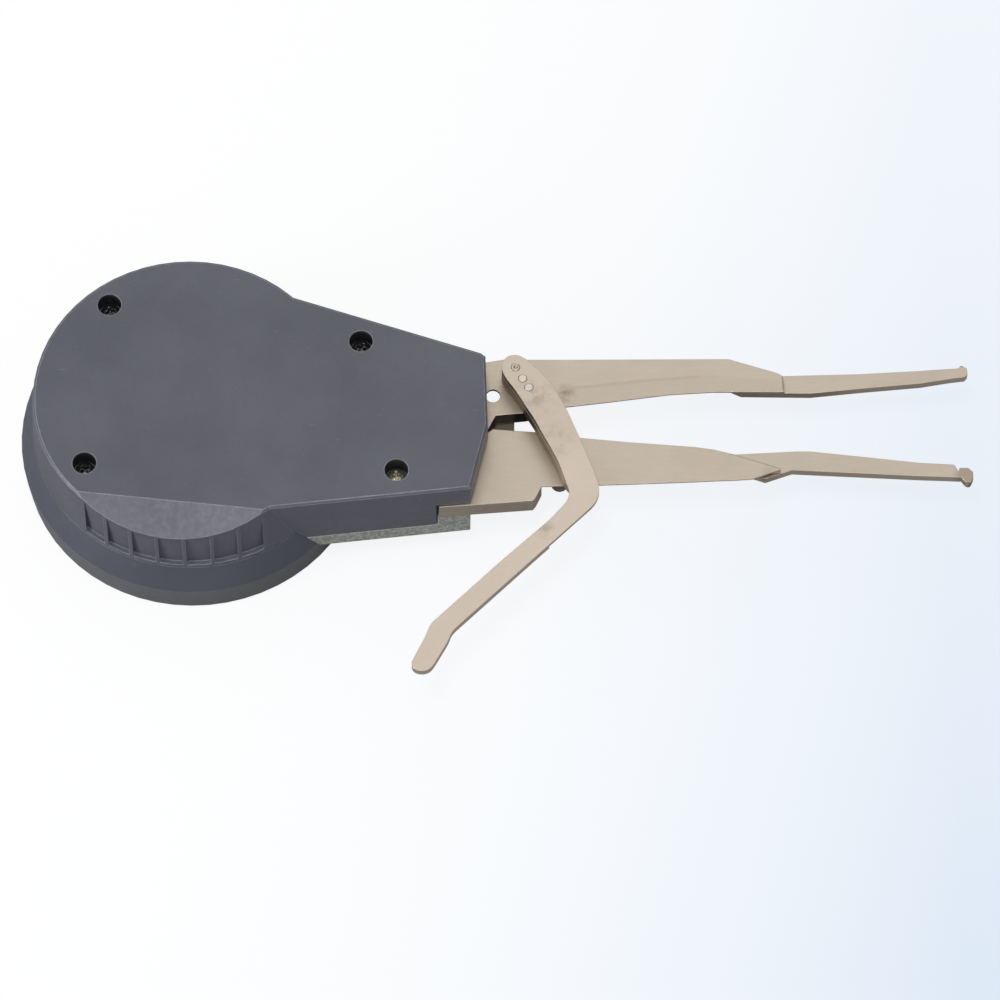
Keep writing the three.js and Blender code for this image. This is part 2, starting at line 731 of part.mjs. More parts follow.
function makeFrameCasting() {
  const groove = snapRingWidth - seatGap - slipGap;
  const spigot = cupRadius - spigotStep;
  const cup = revolve([
    [0, floorUnder],
    [dialRadius + seatGap, floorUnder],
    [dialRadius + seatGap, cupFront],
    [cupRadius, cupFront],
    [cupRadius, snapRingUnder - slipGap],
    [cupRadius - groove, snapRingUnder - slipGap],
    [cupRadius - groove, snapRingTop + slipGap],
    [cupRadius, snapRingTop + slipGap],
    [cupRadius, bezelHeight],
    [spigot, bezelHeight],
    [spigot, deckTop],
    [cupInner, deckTop],
    [cupInner, floorTop],
    [0, floorTop],
  ], new THREE.Vector2(), cupSteps);
  const shellGap = coverWall + seatGap;
  const lower = upright([
    [inset(neckOutline(), frameChamfer), floorUnder],
    [neckOutline(), floorUnder + frameChamfer],
    [neckOutline(), frameTop],
  ]).subtract(bezelRoom(bezelRunRoom, 0));
  const within = inset(neckOutline(), shellGap);
  const upper = joined([
    prism(within, frameTop, deckTop),
    prism(neckOutline(), frameTop, deckTop).intersect(box(
      new THREE.Vector3(slotStartX + seatGap, neckLowY, floorUnder),
      new THREE.Vector3(frameEndX, -neckLowY, deckTop + overrun),
    )),
  ]).subtract(bezelRoom(bezelRunRoom, 0));
  const walls = prism(within, deckTop, deckTop + sideWallHeight)
    .subtract(prism(inset(neckOutline(), shellGap + sideWall), 0, coverTop))
    .intersect(box(
      new THREE.Vector3(cupRadius, neckLowY, 0),
      new THREE.Vector3(cupRadius + sideWallLength, -neckLowY, coverTop),
    ));
  const beyond = box(
    new THREE.Vector3(frameEndX, neckLowY - overrun, 0),
    new THREE.Vector3(frameEndX + neckLength, -neckLowY, coverTop),
  );
  const neck = cut(joined([lower, upper, walls]), [
    disc(new THREE.Vector2(), cupInner, 0, coverTop, largeSteps), beyond]);
  const posts = Object.values(coverScrewPlaces).map((at) => {
    const foot = at.length() < cupInner ? floorTop - slipGap : coverUnder;
    return disc(at, postRadius, foot, postTop);
  });
  const hole = (at, radius, bottom) => disc(at, radius, bottom, coverTop);
  const holes = [
    hole(pivot, pivotPinRadius + slipGap, deckTop - pivotPinDepth),
    hole(idlerAxis, arborRadius + slipGap, 0),
    hole(new THREE.Vector2(), pivotRadius + slipGap, 0),
    ...Object.values(coverScrewPlaces).map((at) => (
      hole(at, coverScrewRadius + slipGap, headSeat - coverScrewReach - slipGap))),
    ...Object.values(armScrewPlaces).map((at) => (
      hole(at, armScrewRadius + slipGap, armScrewSeat() - armScrewReach - slipGap))),
  ];
  part('frame_casting', cut(joined([cup, neck, ...posts]), holes), castMetal);
}

function makeBezel() {
  const lipInner = crystalRadius - bezelLipWidth - seatGap;
  const bore = cupRadius + seatGap;
  const groove = bore + bezelLipWidth;
  const profile = [
    [lipInner, 0],
    [bezelFrontRadius, 0],
    [bezelFrontRadius + bezelFrontChamfer, bezelFrontChamfer],
    [bezelCreaseRadius, bezelCreaseHeight],
    [bezelTopRadius, bezelHeight],
    [bore, bezelHeight],
    [bore, snapRingTop + slipGap],
    [groove, snapRingTop + slipGap],
    [groove, snapRingUnder - slipGap],
    [bore, snapRingUnder - slipGap],
    [bore, spacerFront],
    [crystalRadius + seatGap, spacerFront],
    [crystalRadius + seatGap, bezelLip],
    [lipInner, bezelLip],
    [lipInner, 0],
  ];
  part('bezel_ring', revolve(profile, new THREE.Vector2(), largeSteps), bezelPaint);
  const ringOuter = groove - 2 * slipGap;
  const split = box(
    new THREE.Vector3(-snapRingSplit / 2, 0, 0),
    new THREE.Vector3(snapRingSplit / 2, bezelCreaseRadius, bezelHeight),
  );
  const snapRing = ring(
    new THREE.Vector2(), ringOuter - snapRingWidth, ringOuter, snapRingUnder, snapRingTop, cupSteps);
  part('bezel_snap_ring', snapRing.subtract(split), steel);
  const crystal = revolve([
    [0, crystalFront],
    [lipInner - seatGap, crystalFront],
    [lipInner - seatGap, crystalShoulder],
    [crystalRadius, crystalShoulder],
    [crystalRadius, crystalBack],
    [0, crystalBack],
  ], new THREE.Vector2(), cupSteps);
  part('crystal', crystal, glass);
}

function makeDial() {
  const spacer = ring(new THREE.Vector2(), dialRadius - dialSpacerWidth, dialRadius,
    spacerFront, spacerFront + dialSpacerHeight, cupSteps);
  part('dial_spacer', spacer, darkSteel);
  const face = ring(new THREE.Vector2(), 2 * pivotRadius, dialRadius, dialFront, dialBack, cupSteps);
  part('dial_face', face, dialWhite);
}

function makePointer() {
  const front = dialFront - pointerRoom - pointerThickness;
  const back = front + pointerThickness;
  const blade = prism([
    new THREE.Vector2(pointerRootHalf, -pointerTail),
    new THREE.Vector2(pointerTipHalf, pointerLength),
    new THREE.Vector2(-pointerTipHalf, pointerLength),
    new THREE.Vector2(-pointerRootHalf, -pointerTail),
  ], front, back);
  const boss = disc(new THREE.Vector2(), pointerBossRadius, front, back);
  const bore = disc(new THREE.Vector2(), pivotRadius + slipGap, 0, dialBack);
  part('pointer', joined([blade, boss]).subtract(bore), pointerBlack);
  const cap = revolve([
    [0, front - seatGap - pointerCapHeight],
    [pointerCapRadius - slipGap, front - seatGap - pointerCapHeight],
    [pointerCapRadius, front - seatGap - pointerCapHeight / 2],
    [pointerCapRadius, front - seatGap],
    [0, front - seatGap],
  ]);
  part('pointer_cap', cap, brass);
  return front;
}

// Outline points of the tooth whose middle stands at one angle, straight or curved
function tooth(centre, pitch, module, addendum, middle, straight = false) {
  const base = pitch * Math.cos(pressureAngle);
  const spread = (radius) => {
    const lean = Math.acos(Math.min(1, base / radius));
    return Math.tan(lean) - lean;
  };
  const halfAtPitch = (Math.PI * module / 2 - backlash) / pitch / 2;
  const half = (radius) => halfAtPitch + spread(pitch) - spread(Math.max(radius, base));
  const root = pitch - dedendumShare * module;
  const tip = pitch + addendum * module;
  const flank = straight ? [root, tip] : [root, pitch, tip];
  const rising = flank.map((radius) => polar(centre, radius, middle - half(radius)));
  const falling = flank.reverse().map((radius) => polar(centre, radius, middle + half(radius)));
  return [...rising, ...falling];
}

function gearOutline(centre, teeth, module, addendum, middle, straight) {
  const pitch = module * teeth / 2;
  return Array.from({ length: teeth }, (_, k) => (
    tooth(centre, pitch, module, addendum, middle + k * 2 * Math.PI / teeth, straight))).flat();
}

function makeSector() {
  const teeth = Math.ceil(armTravel / sectorToothAngle) + sectorMarginTeeth;
  const root = sectorPitch - dedendumShare * sectorModule;
  const rimInner = root - sectorRimWidth;
  const arc = [];
  for (let k = -sectorMarginTeeth; k <= teeth; k += 1) {
    const middle = meshHeading + k * sectorToothAngle;
    arc.push(...tooth(pivot, sectorPitch, sectorModule, wheelAddendumShare, middle));
  }
  const first = meshHeading - (sectorMarginTeeth + 1 / 2) * sectorToothAngle;
  const last = meshHeading + (teeth + 1 / 2) * sectorToothAngle;
  const inner = [1, 0.75, 0.5, 0.25, 0].map((share) => (
    polar(pivot, rimInner, first + share * (last - first))));
  const rim = prism([...arc, ...inner], slotTop, sectorTop);
  const webRoot = sectorHubRadius / 2;
  const web = prism([
    webPlace(webRoot, -sectorWebHalf, 0),
    webPlace(root, -sectorWebHalf, 0),
    webPlace(root, sectorWebHalf, 0),
    webPlace(webRoot, sectorWebHalf, 0),
  ].reverse(), slotTop, sectorTop);
  const window = link(
    webPlace(sectorPitch * sectorSlotStartShare, 0, 0),
    webPlace(sectorPitch * sectorSlotEndShare, 0, 0),
    sectorSlotHalf, slotTop - overrun, sectorTop + overrun);
  const hub = disc(pivot, sectorHubRadius, slotTop, sectorTop, middleSteps);
  const bores = [
    disc(pivot, pivotPinRadius + 2 * slipGap + bushWall, 0, coverTop, middleSteps),
    disc(springPostPlace(), springPostRadius + slipGap, 0, coverTop),
    ...sectorScrewPlaces().map((at) => disc(at, sectorScrewRadius + slipGap, 0, coverTop)),
  ];
  part('sector_gear', cut(joined([rim, web, hub]), [window, ...bores]), brass);
}

function sectorScrewPlaces() {
  return [sectorScrewSpread, -sectorScrewSpread].map((turn) => (
    polar(pivot, sectorScrewOffset, sectorHeading + turn)));
}

function springPostPlace() {
  return polar(pivot, springPostShare * sectorPitch, sectorHeading + springPostTurn);
}

function makeSectorScrews() {
  sectorScrewPlaces().forEach((at, n) => {
    const head = sectorTop + slipGap;
    const body = revolve([
      [0, head - sectorScrewReach],
      [sectorScrewRadius, head - sectorScrewReach],
      [sectorScrewRadius, head],
      [sectorScrewHeadRadius, head],
      [sectorScrewHeadRadius, head + sectorScrewHeadHeight],
      [0, head + sectorScrewHeadHeight],
    ], at);
    part(`sector_screw_${n + 1}`, body, steel);
  });
}

function makeIdler() {
  const pinionGap = meshHeading + Math.PI + Math.PI / idlerPinionTeeth;
  const pinionUnder = slotTop - idlerPinionDrop;
  const teeth = gearOutline(
    idlerAxis, idlerPinionTeeth, sectorModule, pinionAddendumShare, pinionGap);
  const arbor = joined([
    disc(idlerAxis, arborRadius, floorTop - arborRadius, bridgeTop - 2 * slipGap),
    prism(teeth, pinionUnder, pinionUnder + idlerPinionHeight),
  ]);
  part('idler_arbor', arbor, steel);
  const wheelPitch = wheelModule * idlerWheelTeeth / 2;
  const toCentre = idlerHeading + Math.PI;
  const wheelOutline = gearOutline(
    idlerAxis, idlerWheelTeeth, wheelModule, wheelAddendumShare, toCentre, true);
  const top = wheelUnder + wheelThickness;
  const rimInner = wheelPitch - dedendumShare * wheelModule - wheelRimWidth;
  const hubOuter = wheelHubRadius + wheelHubWeb;
  const windows = Array.from({ length: spokeCount }, (_, k) => {
    const start = toCentre + k * 2 * Math.PI / spokeCount;
    const arc = (radius) => Array.from({ length: windowSteps + 1 }, (_unused, n) => {
      const lean = Math.asin(spokeHalf / radius);
      const sweep = 2 * Math.PI / spokeCount - 2 * lean;
      return polar(idlerAxis, radius, start + lean + sweep * n / windowSteps);
    });
    const edge = [...arc(rimInner), ...arc(hubOuter).reverse()];
    return prism(edge, wheelUnder - overrun, top + overrun);
  });
  const hub = disc(idlerAxis, wheelHubRadius, top - wheelHubHeight, top);
  const bore = disc(idlerAxis, arborRadius + slipGap, 0, coverTop);
  const wheel = joined([prism(wheelOutline, wheelUnder, top), hub]);
  part('idler_gear', cut(wheel, [...windows, bore]), brass);
}

function makeCentreArbor(front) {
  const gap = idlerHeading + Math.PI / centrePinionTeeth;
  const under = wheelUnder - centrePinionRise;
  const teeth = gearOutline(
    new THREE.Vector2(), centrePinionTeeth, wheelModule, pinionAddendumShare, gap);
  const arbor = joined([
    disc(new THREE.Vector2(), pivotRadius, front, bridgeTop - 2 * slipGap),
    prism(teeth, under, under + centrePinionHeight),
  ]);
  part('centre_arbor', arbor, steel);
}

function makeHairspring() {
  const under = floorTop + colletRise;
  const collet = ring(new THREE.Vector2(), pivotRadius + slipGap, colletRadius,
    under, under + colletHeight);
  part('hairspring_collet', collet, brass);
  const steps = hairspringTurns * hairspringTurnSteps;
  const radius = (k) => hairspringStart + (hairspringEnd - hairspringStart) * k / steps;
  const turn = 2 * Math.PI / hairspringTurnSteps;
  const half = hairspringStrip / 2;
  const outer = [];
  const inner = [];
  for (let k = 0; k <= steps; k += 1) {
    outer.push(polar(new THREE.Vector2(), radius(k) + half, k * turn));
    inner.unshift(polar(new THREE.Vector2(), radius(k) - half, k * turn));
  }
  const stripUnder = under + (colletHeight - hairspringWidth) / 2;
  const strip = prism([...outer, ...inner], stripUnder, stripUnder + hairspringWidth);
  part('hairspring', strip, steel);
  const studPlace = new THREE.Vector2(hairspringEnd + half + slipGap + studRadius, 0);
  const stud = disc(studPlace, studRadius, floorTop + slipGap, under + colletHeight);
  part('hairspring_stud', stud, brass);
}

function makeBridge() {
  const places = Object.values(pillarPlaces);
  const corners = [places[0], idlerAxis, places[1], places[2]];
  const bores = [
    disc(idlerAxis, arborRadius + slipGap, 0, coverTop),
    disc(new THREE.Vector2(), pivotRadius + slipGap, 0, coverTop),
    ...places.map((at) => disc(at, bridgeScrewRadius + slipGap, 0, coverTop)),
  ];
  const plate = prism(padded(corners, bridgeCornerRadius), bridgeUnder, bridgeTop);
  part('bridge_plate', cut(plate, bores), brass);
  const head = bridgeTop + slipGap;
  for (const [number, at] of Object.entries(pillarPlaces)) {
    const pillar = disc(at, pillarRadius, floorTop + slipGap, bridgeUnder - slipGap);
    const thread = disc(at, bridgeScrewRadius + slipGap, head - bridgeScrewReach - slipGap, coverTop);
    part(`pillar_${number}`, pillar.subtract(thread), brass);
    const screw = joined([
      disc(at, bridgeScrewRadius, head - bridgeScrewReach, head + slipGap),
      disc(at, bridgeScrewHeadRadius, head, head + bridgeScrewHeadHeight),
    ]);
    part(`bridge_screw_${number}`, screw, steel);
  }
}

function makePivot() {
  const headUnder = sectorTop + seatGap;
  const foot = deckTop - pivotPinDepth + slipGap;
  const pin = revolve([
    [0, foot],
    [pivotPinRadius, foot],
    [pivotPinRadius, headUnder],
    [pivotHeadRadius, headUnder],
    [pivotHeadRadius, headUnder + pivotHeadHeight],
    [0, headUnder + pivotHeadHeight],
  ], pivot, middleSteps);
  part('pivot_pin', pin, steel);
  const bushInner = pivotPinRadius + slipGap;
  const bush = ring(pivot, bushInner, bushInner + bushWall, movingUnder, sectorTop, middleSteps);
  part('pivot_bush', bush, brass);
  const washer = ring(pivot, bushInner, washerRadius, armSeat, armSeat + washerThickness, middleSteps);
  part('pivot_washer', washer, brass);
}

// A blade as sections along its length: flat back, undercut lower edge, thin rim
function blade(stations, start, base, run, width, under, top, bevel) {
  const depth = top - under;
  const rings = stations.map(({ along, top: topShare, ridge, low }) => {
    const x = start + along * run;
    const far = base + topShare * width;
    const near = base + low * width;
    const room = far - near;
    const undercut = Math.min(depth - bladeEdge - bevel, room * undercutShare);
    const crest = ridge === undefined ? near + room / 2 : base + ridge * width;
    return [
      new THREE.Vector3(x, near + undercut, under),
      new THREE.Vector3(x, far, under),
      new THREE.Vector3(x, far, top),
      new THREE.Vector3(x, Math.min(crest, far - room * crestShare), top),
      new THREE.Vector3(x, near, top - bevel),
      new THREE.Vector3(x, near, top - bevel - bladeEdge),
    ].reverse();
  });
  return loft(rings, ['z', 'y']);
}

function movingBladeOrigin() {
  return new THREE.Vector2(pivotX + movingBladeStart, pivotY - movingBladeDrop);
}

function movingLegOrigin() {
  const origin = movingBladeOrigin();
  return new THREE.Vector2(
    origin.x + movingBladeRun - movingLegOverlap, origin.y + movingLegRise);
}

function fixedBladeOrigin() {
  return new THREE.Vector2(
    fixedPlateStart + fixedPlateLength - fixedBladeLap, fixedPlateLow + fixedBladeRise);
}

function fixedLegOrigin() {
  const origin = fixedBladeOrigin();
  return new THREE.Vector2(
    origin.x + fixedBladeRun - fixedLegOverlap, origin.y + fixedLegRise);
}

function rivetPlaces(origin, shares, overlap, width) {
  return shares.map(([along, across]) => (
    new THREE.Vector2(origin.x + along * overlap, origin.y + across * width)));
}

function leverPoint([across, up]) {
  return new THREE.Vector2(
    pivotX + leverStartX + across * leverWidth, pivotY + leverLowY + up * leverHeight);
}

function makeMovingArm() {
  const origin = movingBladeOrigin();
  const hub = joined([
    disc(pivot, hubRadius, movingUnder, movingTop, middleSteps),
    prism(outline(hubShares, pivotX, pivotY, hubReach, hubWidth), movingUnder, movingTop),
  ]);
  const long = blade(movingBladeShares, origin.x, origin.y, movingBladeRun,
    movingBladeWidth, bladeUnder, movingTop, bladeBevel);
  const sight = new THREE.Vector2(
    pivotX + sightHoleShares[0] * hubReach, pivotY + sightHoleShares[1] * hubWidth);
  const rivets = rivetPlaces(
    movingLegOrigin(), movingRivetShares, movingLegOverlap, movingLegWidth);
  const blindTop = legUnder + legRivetReach + slipGap;
  const bores = [
    disc(pivot, pivotPinRadius + 2 * slipGap + bushWall, 0, coverTop, middleSteps),
    disc(sight, sightHoleRadius, 0, coverTop),
    disc(sight, sightReliefRadius, 0, movingTop - sightHoleSkin, middleSteps),
    ...rivets.map((at) => disc(at, legRivetRadius + slipGap, 0, blindTop)),
    ...Object.values(leverRivetShares).map((shares) => (
      disc(leverPoint(shares), leverRivetRadius + slipGap, 0, coverTop))),
    ...sectorScrewPlaces().map((at) => disc(
      at, sectorScrewRadius + slipGap, sectorTop - sectorScrewReach, coverTop)),
  ];
  part('moving_arm', cut(joined([hub, long]), bores), nickel);
}

function armScrewSeat() {
  return fixedTop - slipGap - armScrewHeadHeight;
}

function makeFixedArm() {
  const origin = fixedBladeOrigin();
  const plate = prism(outline(
    fixedPlateShares, fixedPlateStart, fixedPlateLow, fixedPlateLength, fixedPlateWidth,
  ), armSeat, fixedTop).subtract(disc(pivot, hubRoomRadius, 0, coverTop, middleSteps));
  const long = blade(fixedBladeShares, origin.x, origin.y, fixedBladeRun,
    fixedBladeWidth, fixedTop - fixedBladeThickness, fixedTop, 0);
  const lipX = pivotX + lipAhead;
  const lipY = pivotY - lipDrop;
  const lip = box(
    new THREE.Vector3(lipX, lipY - lipWidth, armSeat + lipLap - lipThickness),
    new THREE.Vector3(lipX + lipReach, lipY, armSeat + lipLap),
  );
  const rivets = rivetPlaces(
    fixedLegOrigin(), fixedRivetShares, fixedLegOverlap, fixedLegWidth);
  const blindTop = legUnder + legRivetReach + slipGap;
  const pin = stopPinPlace();
  const bores = [
    ...rivets.map((at) => disc(at, legRivetRadius + slipGap, 0, blindTop)),
    disc(pin, stopPinRadius + slipGap, 0, legUnder + stopPinLength),
    ...Object.values(armScrewPlaces).flatMap((at) => [
      disc(at, armScrewRadius + screwHoleGap, 0, coverTop),
      disc(at, armScrewHeadRadius + screwHoleGap, armScrewSeat() - slipGap, coverTop),
    ]),
  ];
  part('fixed_arm', cut(joined([plate, long, lip]), bores), nickel);
  for (const [number, at] of Object.entries(armScrewPlaces)) {
    const seat = armScrewSeat();
    const screw = revolve([
      [0, seat - armScrewReach],
      [armScrewRadius, seat - armScrewReach],
      [armScrewRadius, seat],
      [armScrewHeadRadius, seat],
      [armScrewHeadRadius, seat + armScrewHeadHeight],
      [0, seat + armScrewHeadHeight],
    ], at);
    part(`arm_screw_${number}`, screw, steel);
  }
  const pinBody = disc(pin, stopPinRadius, legUnder - slipGap, legUnder + stopPinLength - slipGap);
  part('arm_stop_pin', pinBody, darkSteel);
}

function stopPinPlace() {
  const origin = fixedBladeOrigin();
  return new THREE.Vector2(
    origin.x + stopPinAlongShare * fixedBladeRun, origin.y + stopPinAcrossShare * fixedBladeWidth);
}

function ball(centre, radius) {
  const geometry = new THREE.SphereGeometry(radius, ballSteps, ballSteps / 2);
  geometry.translate(centre.x, centre.y, centre.z);
  return solid(geometry);
}

// A leg with its contact ball, side is 1 where the ball looks up and -1 down
function makeLeg(kind, origin, shares, length, width, overlap, rivetShares, contactShare, side) {
  const points = outline(shares, origin.x, origin.y, length, width);
  const edge = side > 0
    ? Math.max(...points.map((point) => point.y))
    : Math.min(...points.map((point) => point.y));
  const centre = new THREE.Vector3(
    origin.x + contactShare * length, edge - side * contactRecess, legTop - legThickness / 2);
  const rivets = rivetPlaces(origin, rivetShares, overlap, width);
  const leg = cut(prism(points, legUnder, legTop), [
    ball(centre, contactRadius + slipGap),
    ...rivets.map((at) => disc(at, legRivetRadius + slipGap, 0, coverTop)),
  ]);
  part(`${kind}_leg`, leg, nickel);
  part(`${kind}_contact`, ball(centre, contactRadius), steel);
  rivets.forEach((at, n) => {
    const rivet = disc(at, legRivetRadius, legUnder, legUnder + legRivetReach);
    part(`${kind}_leg_rivet_${n + 1}`, rivet, steel);
  });
}

function makeLever() {
  const shape = leverShares.map(leverPoint);
  const strip = spacerShares.map(leverPoint);
  const bores = Object.values(leverRivetShares).map((shares) => (
    disc(leverPoint(shares), leverRivetRadius + slipGap, 0, coverTop)));
  const relief = box(
    new THREE.Vector3(pivotX, leverPoint([0, leverReliefStart]).y, leverUnder - overrun),
    new THREE.Vector3(
      pivotX + 2 * leverHeight,
      leverPoint([0, leverReliefEnd]).y,
      leverUnder + leverReliefDepth,
    ),
  );
  part('trigger_lever', cut(prism(shape, leverUnder, leverTop), [relief, ...bores]), nickel);
  part('lever_spacer', cut(prism(strip, slotTop, slotTop + leverRise), bores), darkSteel);
  for (const [number, shares] of Object.entries(leverRivetShares)) {
    const at = leverPoint(shares);
    const top = leverTop + rivetProud;
    const hollow = disc(at, rivetCupRadius, leverTop - rivetCupRadius, coverTop);
    const body = disc(at, leverRivetRadius, movingUnder + leverRivetFoot, top);
    part(`lever_rivet_${number}`, number === '1' ? body.subtract(hollow) : body, steel);
  }
}

function makeReturnSpring() {
  const from = springPostPlace();
  const anchor = new THREE.Vector2(from.x, neckLowY + springAnchorShare * neckWidth);
  const height = slotTop - springDrop;
  const upper = from.y - springPostRadius - slipGap - springWire / 2;
  const lower = anchor.y + springPostRadius + 2 * slipGap + springWire / 2;
  const coilLength = springTurns * springPitch;
  const hook = (upper - lower - coilLength) / 2;
  const points = [new THREE.Vector3(from.x, upper, height)];
  const steps = springTurns * springTurnSteps;
  for (let k = 0; k <= steps; k += 1) {
    const angle = k * 2 * Math.PI / springTurnSteps;
    points.push(new THREE.Vector3(
      from.x + springCoilRadius * Math.cos(angle),
      upper - hook - coilLength * k / steps,
      height + springCoilRadius * Math.sin(angle),
    ));
  }
  points.push(new THREE.Vector3(from.x, lower, height));
  const section = new THREE.Shape(circle(new THREE.Vector2(), springWire / 2, springSides));
  const wire = new THREE.CatmullRomCurve3(points);
  const geometry = new THREE.ExtrudeGeometry(
    section, { steps: steps + springHookSteps, extrudePath: wire });
  part('return_spring', solid(geometry), steel);
  const moving = disc(from, springPostRadius, slotTop - springPostFoot, sectorTop);
  part('spring_post_moving', moving, steel);
  const fixed = disc(anchor, springPostRadius, deckTop + slipGap, slotTop - seatGap);
  part('spring_post_fixed', fixed, steel);
}

function makeStops() {
  const across = sectorWebHalf + stopRadius + slipGap;
  const reach = pivotX - cupInner - stopInset;
  const along = Math.sqrt(reach ** 2 - across ** 2);
  const top = slotTop + stopRise;
  const foot = deckTop + slipGap;
  part('rest_stop_pin', disc(webPlace(along, across, 0), stopRadius, foot, top), steel);
  part('closing_stop_pin', disc(webPlace(along, -across, -armTravel), stopRadius, foot, top), steel);
}

makeBackCover();
makeCoverScrews();
makeFrameCasting();
makeBezel();
makeDial();
const arborFront = makePointer();
makeCentreArbor(arborFront);
makeHairspring();
makeIdler();
makeSector();
makeSectorScrews();
makeBridge();
makePivot();
makeReturnSpring();
makeStops();
makeLever();
makeFixedArm();
makeMovingArm();
makeLeg('fixed', fixedLegOrigin(), fixedLegShares, fixedLegLength, fixedLegWidth,
  fixedLegOverlap, fixedRivetShares, fixedContactShare, -1);
makeLeg('moving', movingLegOrigin(), movingLegShares, movingLegLength, movingLegWidth,
  movingLegOverlap, movingRivetShares, movingContactShare, 1);

export default caliper;
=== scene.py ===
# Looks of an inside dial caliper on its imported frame: finer pieces, finishes, light and view.
# Metres, in the frame of the CAD: Z along the dial's axis, X along the arms.
import json
import math

import bmesh
import bpy
from mathutils import Matrix, Vector

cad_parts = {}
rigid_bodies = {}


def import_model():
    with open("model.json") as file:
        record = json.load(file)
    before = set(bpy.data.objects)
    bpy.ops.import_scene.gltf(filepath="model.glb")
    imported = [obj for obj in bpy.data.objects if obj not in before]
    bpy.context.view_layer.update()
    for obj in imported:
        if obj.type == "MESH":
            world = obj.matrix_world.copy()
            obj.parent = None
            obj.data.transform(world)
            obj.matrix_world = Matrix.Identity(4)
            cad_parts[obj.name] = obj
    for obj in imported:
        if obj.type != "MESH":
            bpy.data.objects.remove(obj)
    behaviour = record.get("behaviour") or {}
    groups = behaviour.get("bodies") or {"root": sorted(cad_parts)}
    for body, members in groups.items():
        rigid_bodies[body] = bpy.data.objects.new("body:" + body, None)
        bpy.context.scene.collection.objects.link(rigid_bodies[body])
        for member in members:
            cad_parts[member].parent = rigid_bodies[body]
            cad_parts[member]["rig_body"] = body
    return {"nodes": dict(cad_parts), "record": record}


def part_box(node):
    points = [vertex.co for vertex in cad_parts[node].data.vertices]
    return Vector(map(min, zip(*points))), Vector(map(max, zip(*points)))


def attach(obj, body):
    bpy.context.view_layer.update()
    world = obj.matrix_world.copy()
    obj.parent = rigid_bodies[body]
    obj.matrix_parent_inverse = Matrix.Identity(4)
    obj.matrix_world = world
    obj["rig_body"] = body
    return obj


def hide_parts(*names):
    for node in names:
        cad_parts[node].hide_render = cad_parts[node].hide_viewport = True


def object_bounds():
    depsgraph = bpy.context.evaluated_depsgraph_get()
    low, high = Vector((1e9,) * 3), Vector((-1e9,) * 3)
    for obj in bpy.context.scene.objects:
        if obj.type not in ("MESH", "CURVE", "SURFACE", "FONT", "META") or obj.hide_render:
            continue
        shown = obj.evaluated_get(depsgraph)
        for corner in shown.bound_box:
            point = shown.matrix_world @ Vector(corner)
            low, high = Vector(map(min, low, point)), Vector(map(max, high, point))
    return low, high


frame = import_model()
cad_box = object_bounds()
nodes = frame["nodes"]
slot_of = {row["node"]: row["material_slot"] for row in frame["record"]["subparts"]}

# The photograph's view: a long lens that looks down at the dial's plane by the tilt, with the
# pixel and the scale of the point where the dial's axis leaves the cover
PHOTO_SIDE = 1000
FOCAL_PIXELS = 6000
VIEW_TILT = math.radians(63.1)
VIEW_ROLL = math.radians(-0.3)
AXIS_PIXEL = (190.7, 394.6)
METRES_PER_PIXEL = 0.000222
SENSOR_WIDTH = 36.0
CAMERA_RANGE = 10

# Shading: the bend up to which flat strips are shown as one curve
SMOOTH_ANGLES = {
    "back_cover": math.radians(16),
    "bezel_ring": math.radians(16),
    "frame_casting": math.radians(16),
    "moving_arm": math.radians(1.5),
    "fixed_arm": math.radians(1.5),
}
SMOOTH_ANGLE = math.radians(40)
MERGE_DISTANCE = 1e-6

# Finer plates, each with the reach of its corners' rounding. A corner's rounding takes no more
# than the share of the edge beside it, and what lies deeper than the skin is a relief.
PLATE_ROUNDINGS = {"trigger_lever": 0.0016, "lever_spacer": 0.0012}
ROUNDING_STEPS = 5
ROUNDING_SHARE = 0.48
RELIEF_MARGIN = 0.02
RELIEF_SKIN = 1e-4

# Cover screws. The point is given in radii of the shank, and the dome's corners in widths of the
# rim, inwards and downwards from the head's upper corner.
SCREW_STEPS = 48
SCREW_SHANK = 0.0012
SCREW_POINT = (0.7, 0.5)
SCREW_HEAD = 0.0018
SCREW_RIM = 0.0006
SCREW_DOME = ((0, 2), (0.25, 1.3), (1, 0.6), (2, 0.2))
SCREW_FLAT_SHARE = 0.3
CROSS_HALF_LENGTH = 0.00135
CROSS_HALF_WIDTH = 0.00036
CROSS_DEPTH = 0.0012
CROSS_TAPER = 0.45
CROSS_FLARE = 1.6
CROSS_TURNS = {
    "cover_screw_1": math.radians(18),
    "cover_screw_2": math.radians(-24),
    "cover_screw_3": math.radians(38),
    "cover_screw_4": math.radians(8),
}

# Dial print
DIAL_DIVISIONS = 100
TICK_OUTER = 0.0300
TICK_LENGTHS = {10: 0.0046, 5: 0.0034, 1: 0.0023}
TICK_WIDTHS = {10: 0.00042, 5: 0.00030, 1: 0.00018}
NUMBER_STEP = 10
NUMBER_RADIUS = 0.0219
NUMBER_HEIGHT = 0.0046
DIAL_CIRCLE_RADIUS = 0.0137
DIAL_CIRCLE_WIDTH = 0.00022
DIAL_CIRCLE_STEPS = 96
INK = 0.00003

# The sockets of a mix node that mixes colours
MIX_SHARE, MIX_FIRST, MIX_SECOND, MIX_RESULT = 0, 6, 7, 2
BLACK = (0, 0, 0, 1)
WHITE = (1.0, 1.0, 1.0, 1.0)

# Reach of the rounded edges that the finishes show
EDGE_SAMPLES = 4
PAINT_EDGE = 0.00035
CAST_EDGE = 0.00045
METAL_EDGE = 0.00022
PLASTIC_EDGE = 0.0001

# Where wear starts and is full on an edge, as cosines of the rounding's turn. On paint the edge is
# partly a painted highlight, set to catch shallow creases too.
METAL_WEAR = (0.985, 0.86)
PAINT_WEAR_AND_HIGHLIGHT = (0.9992, 0.985)

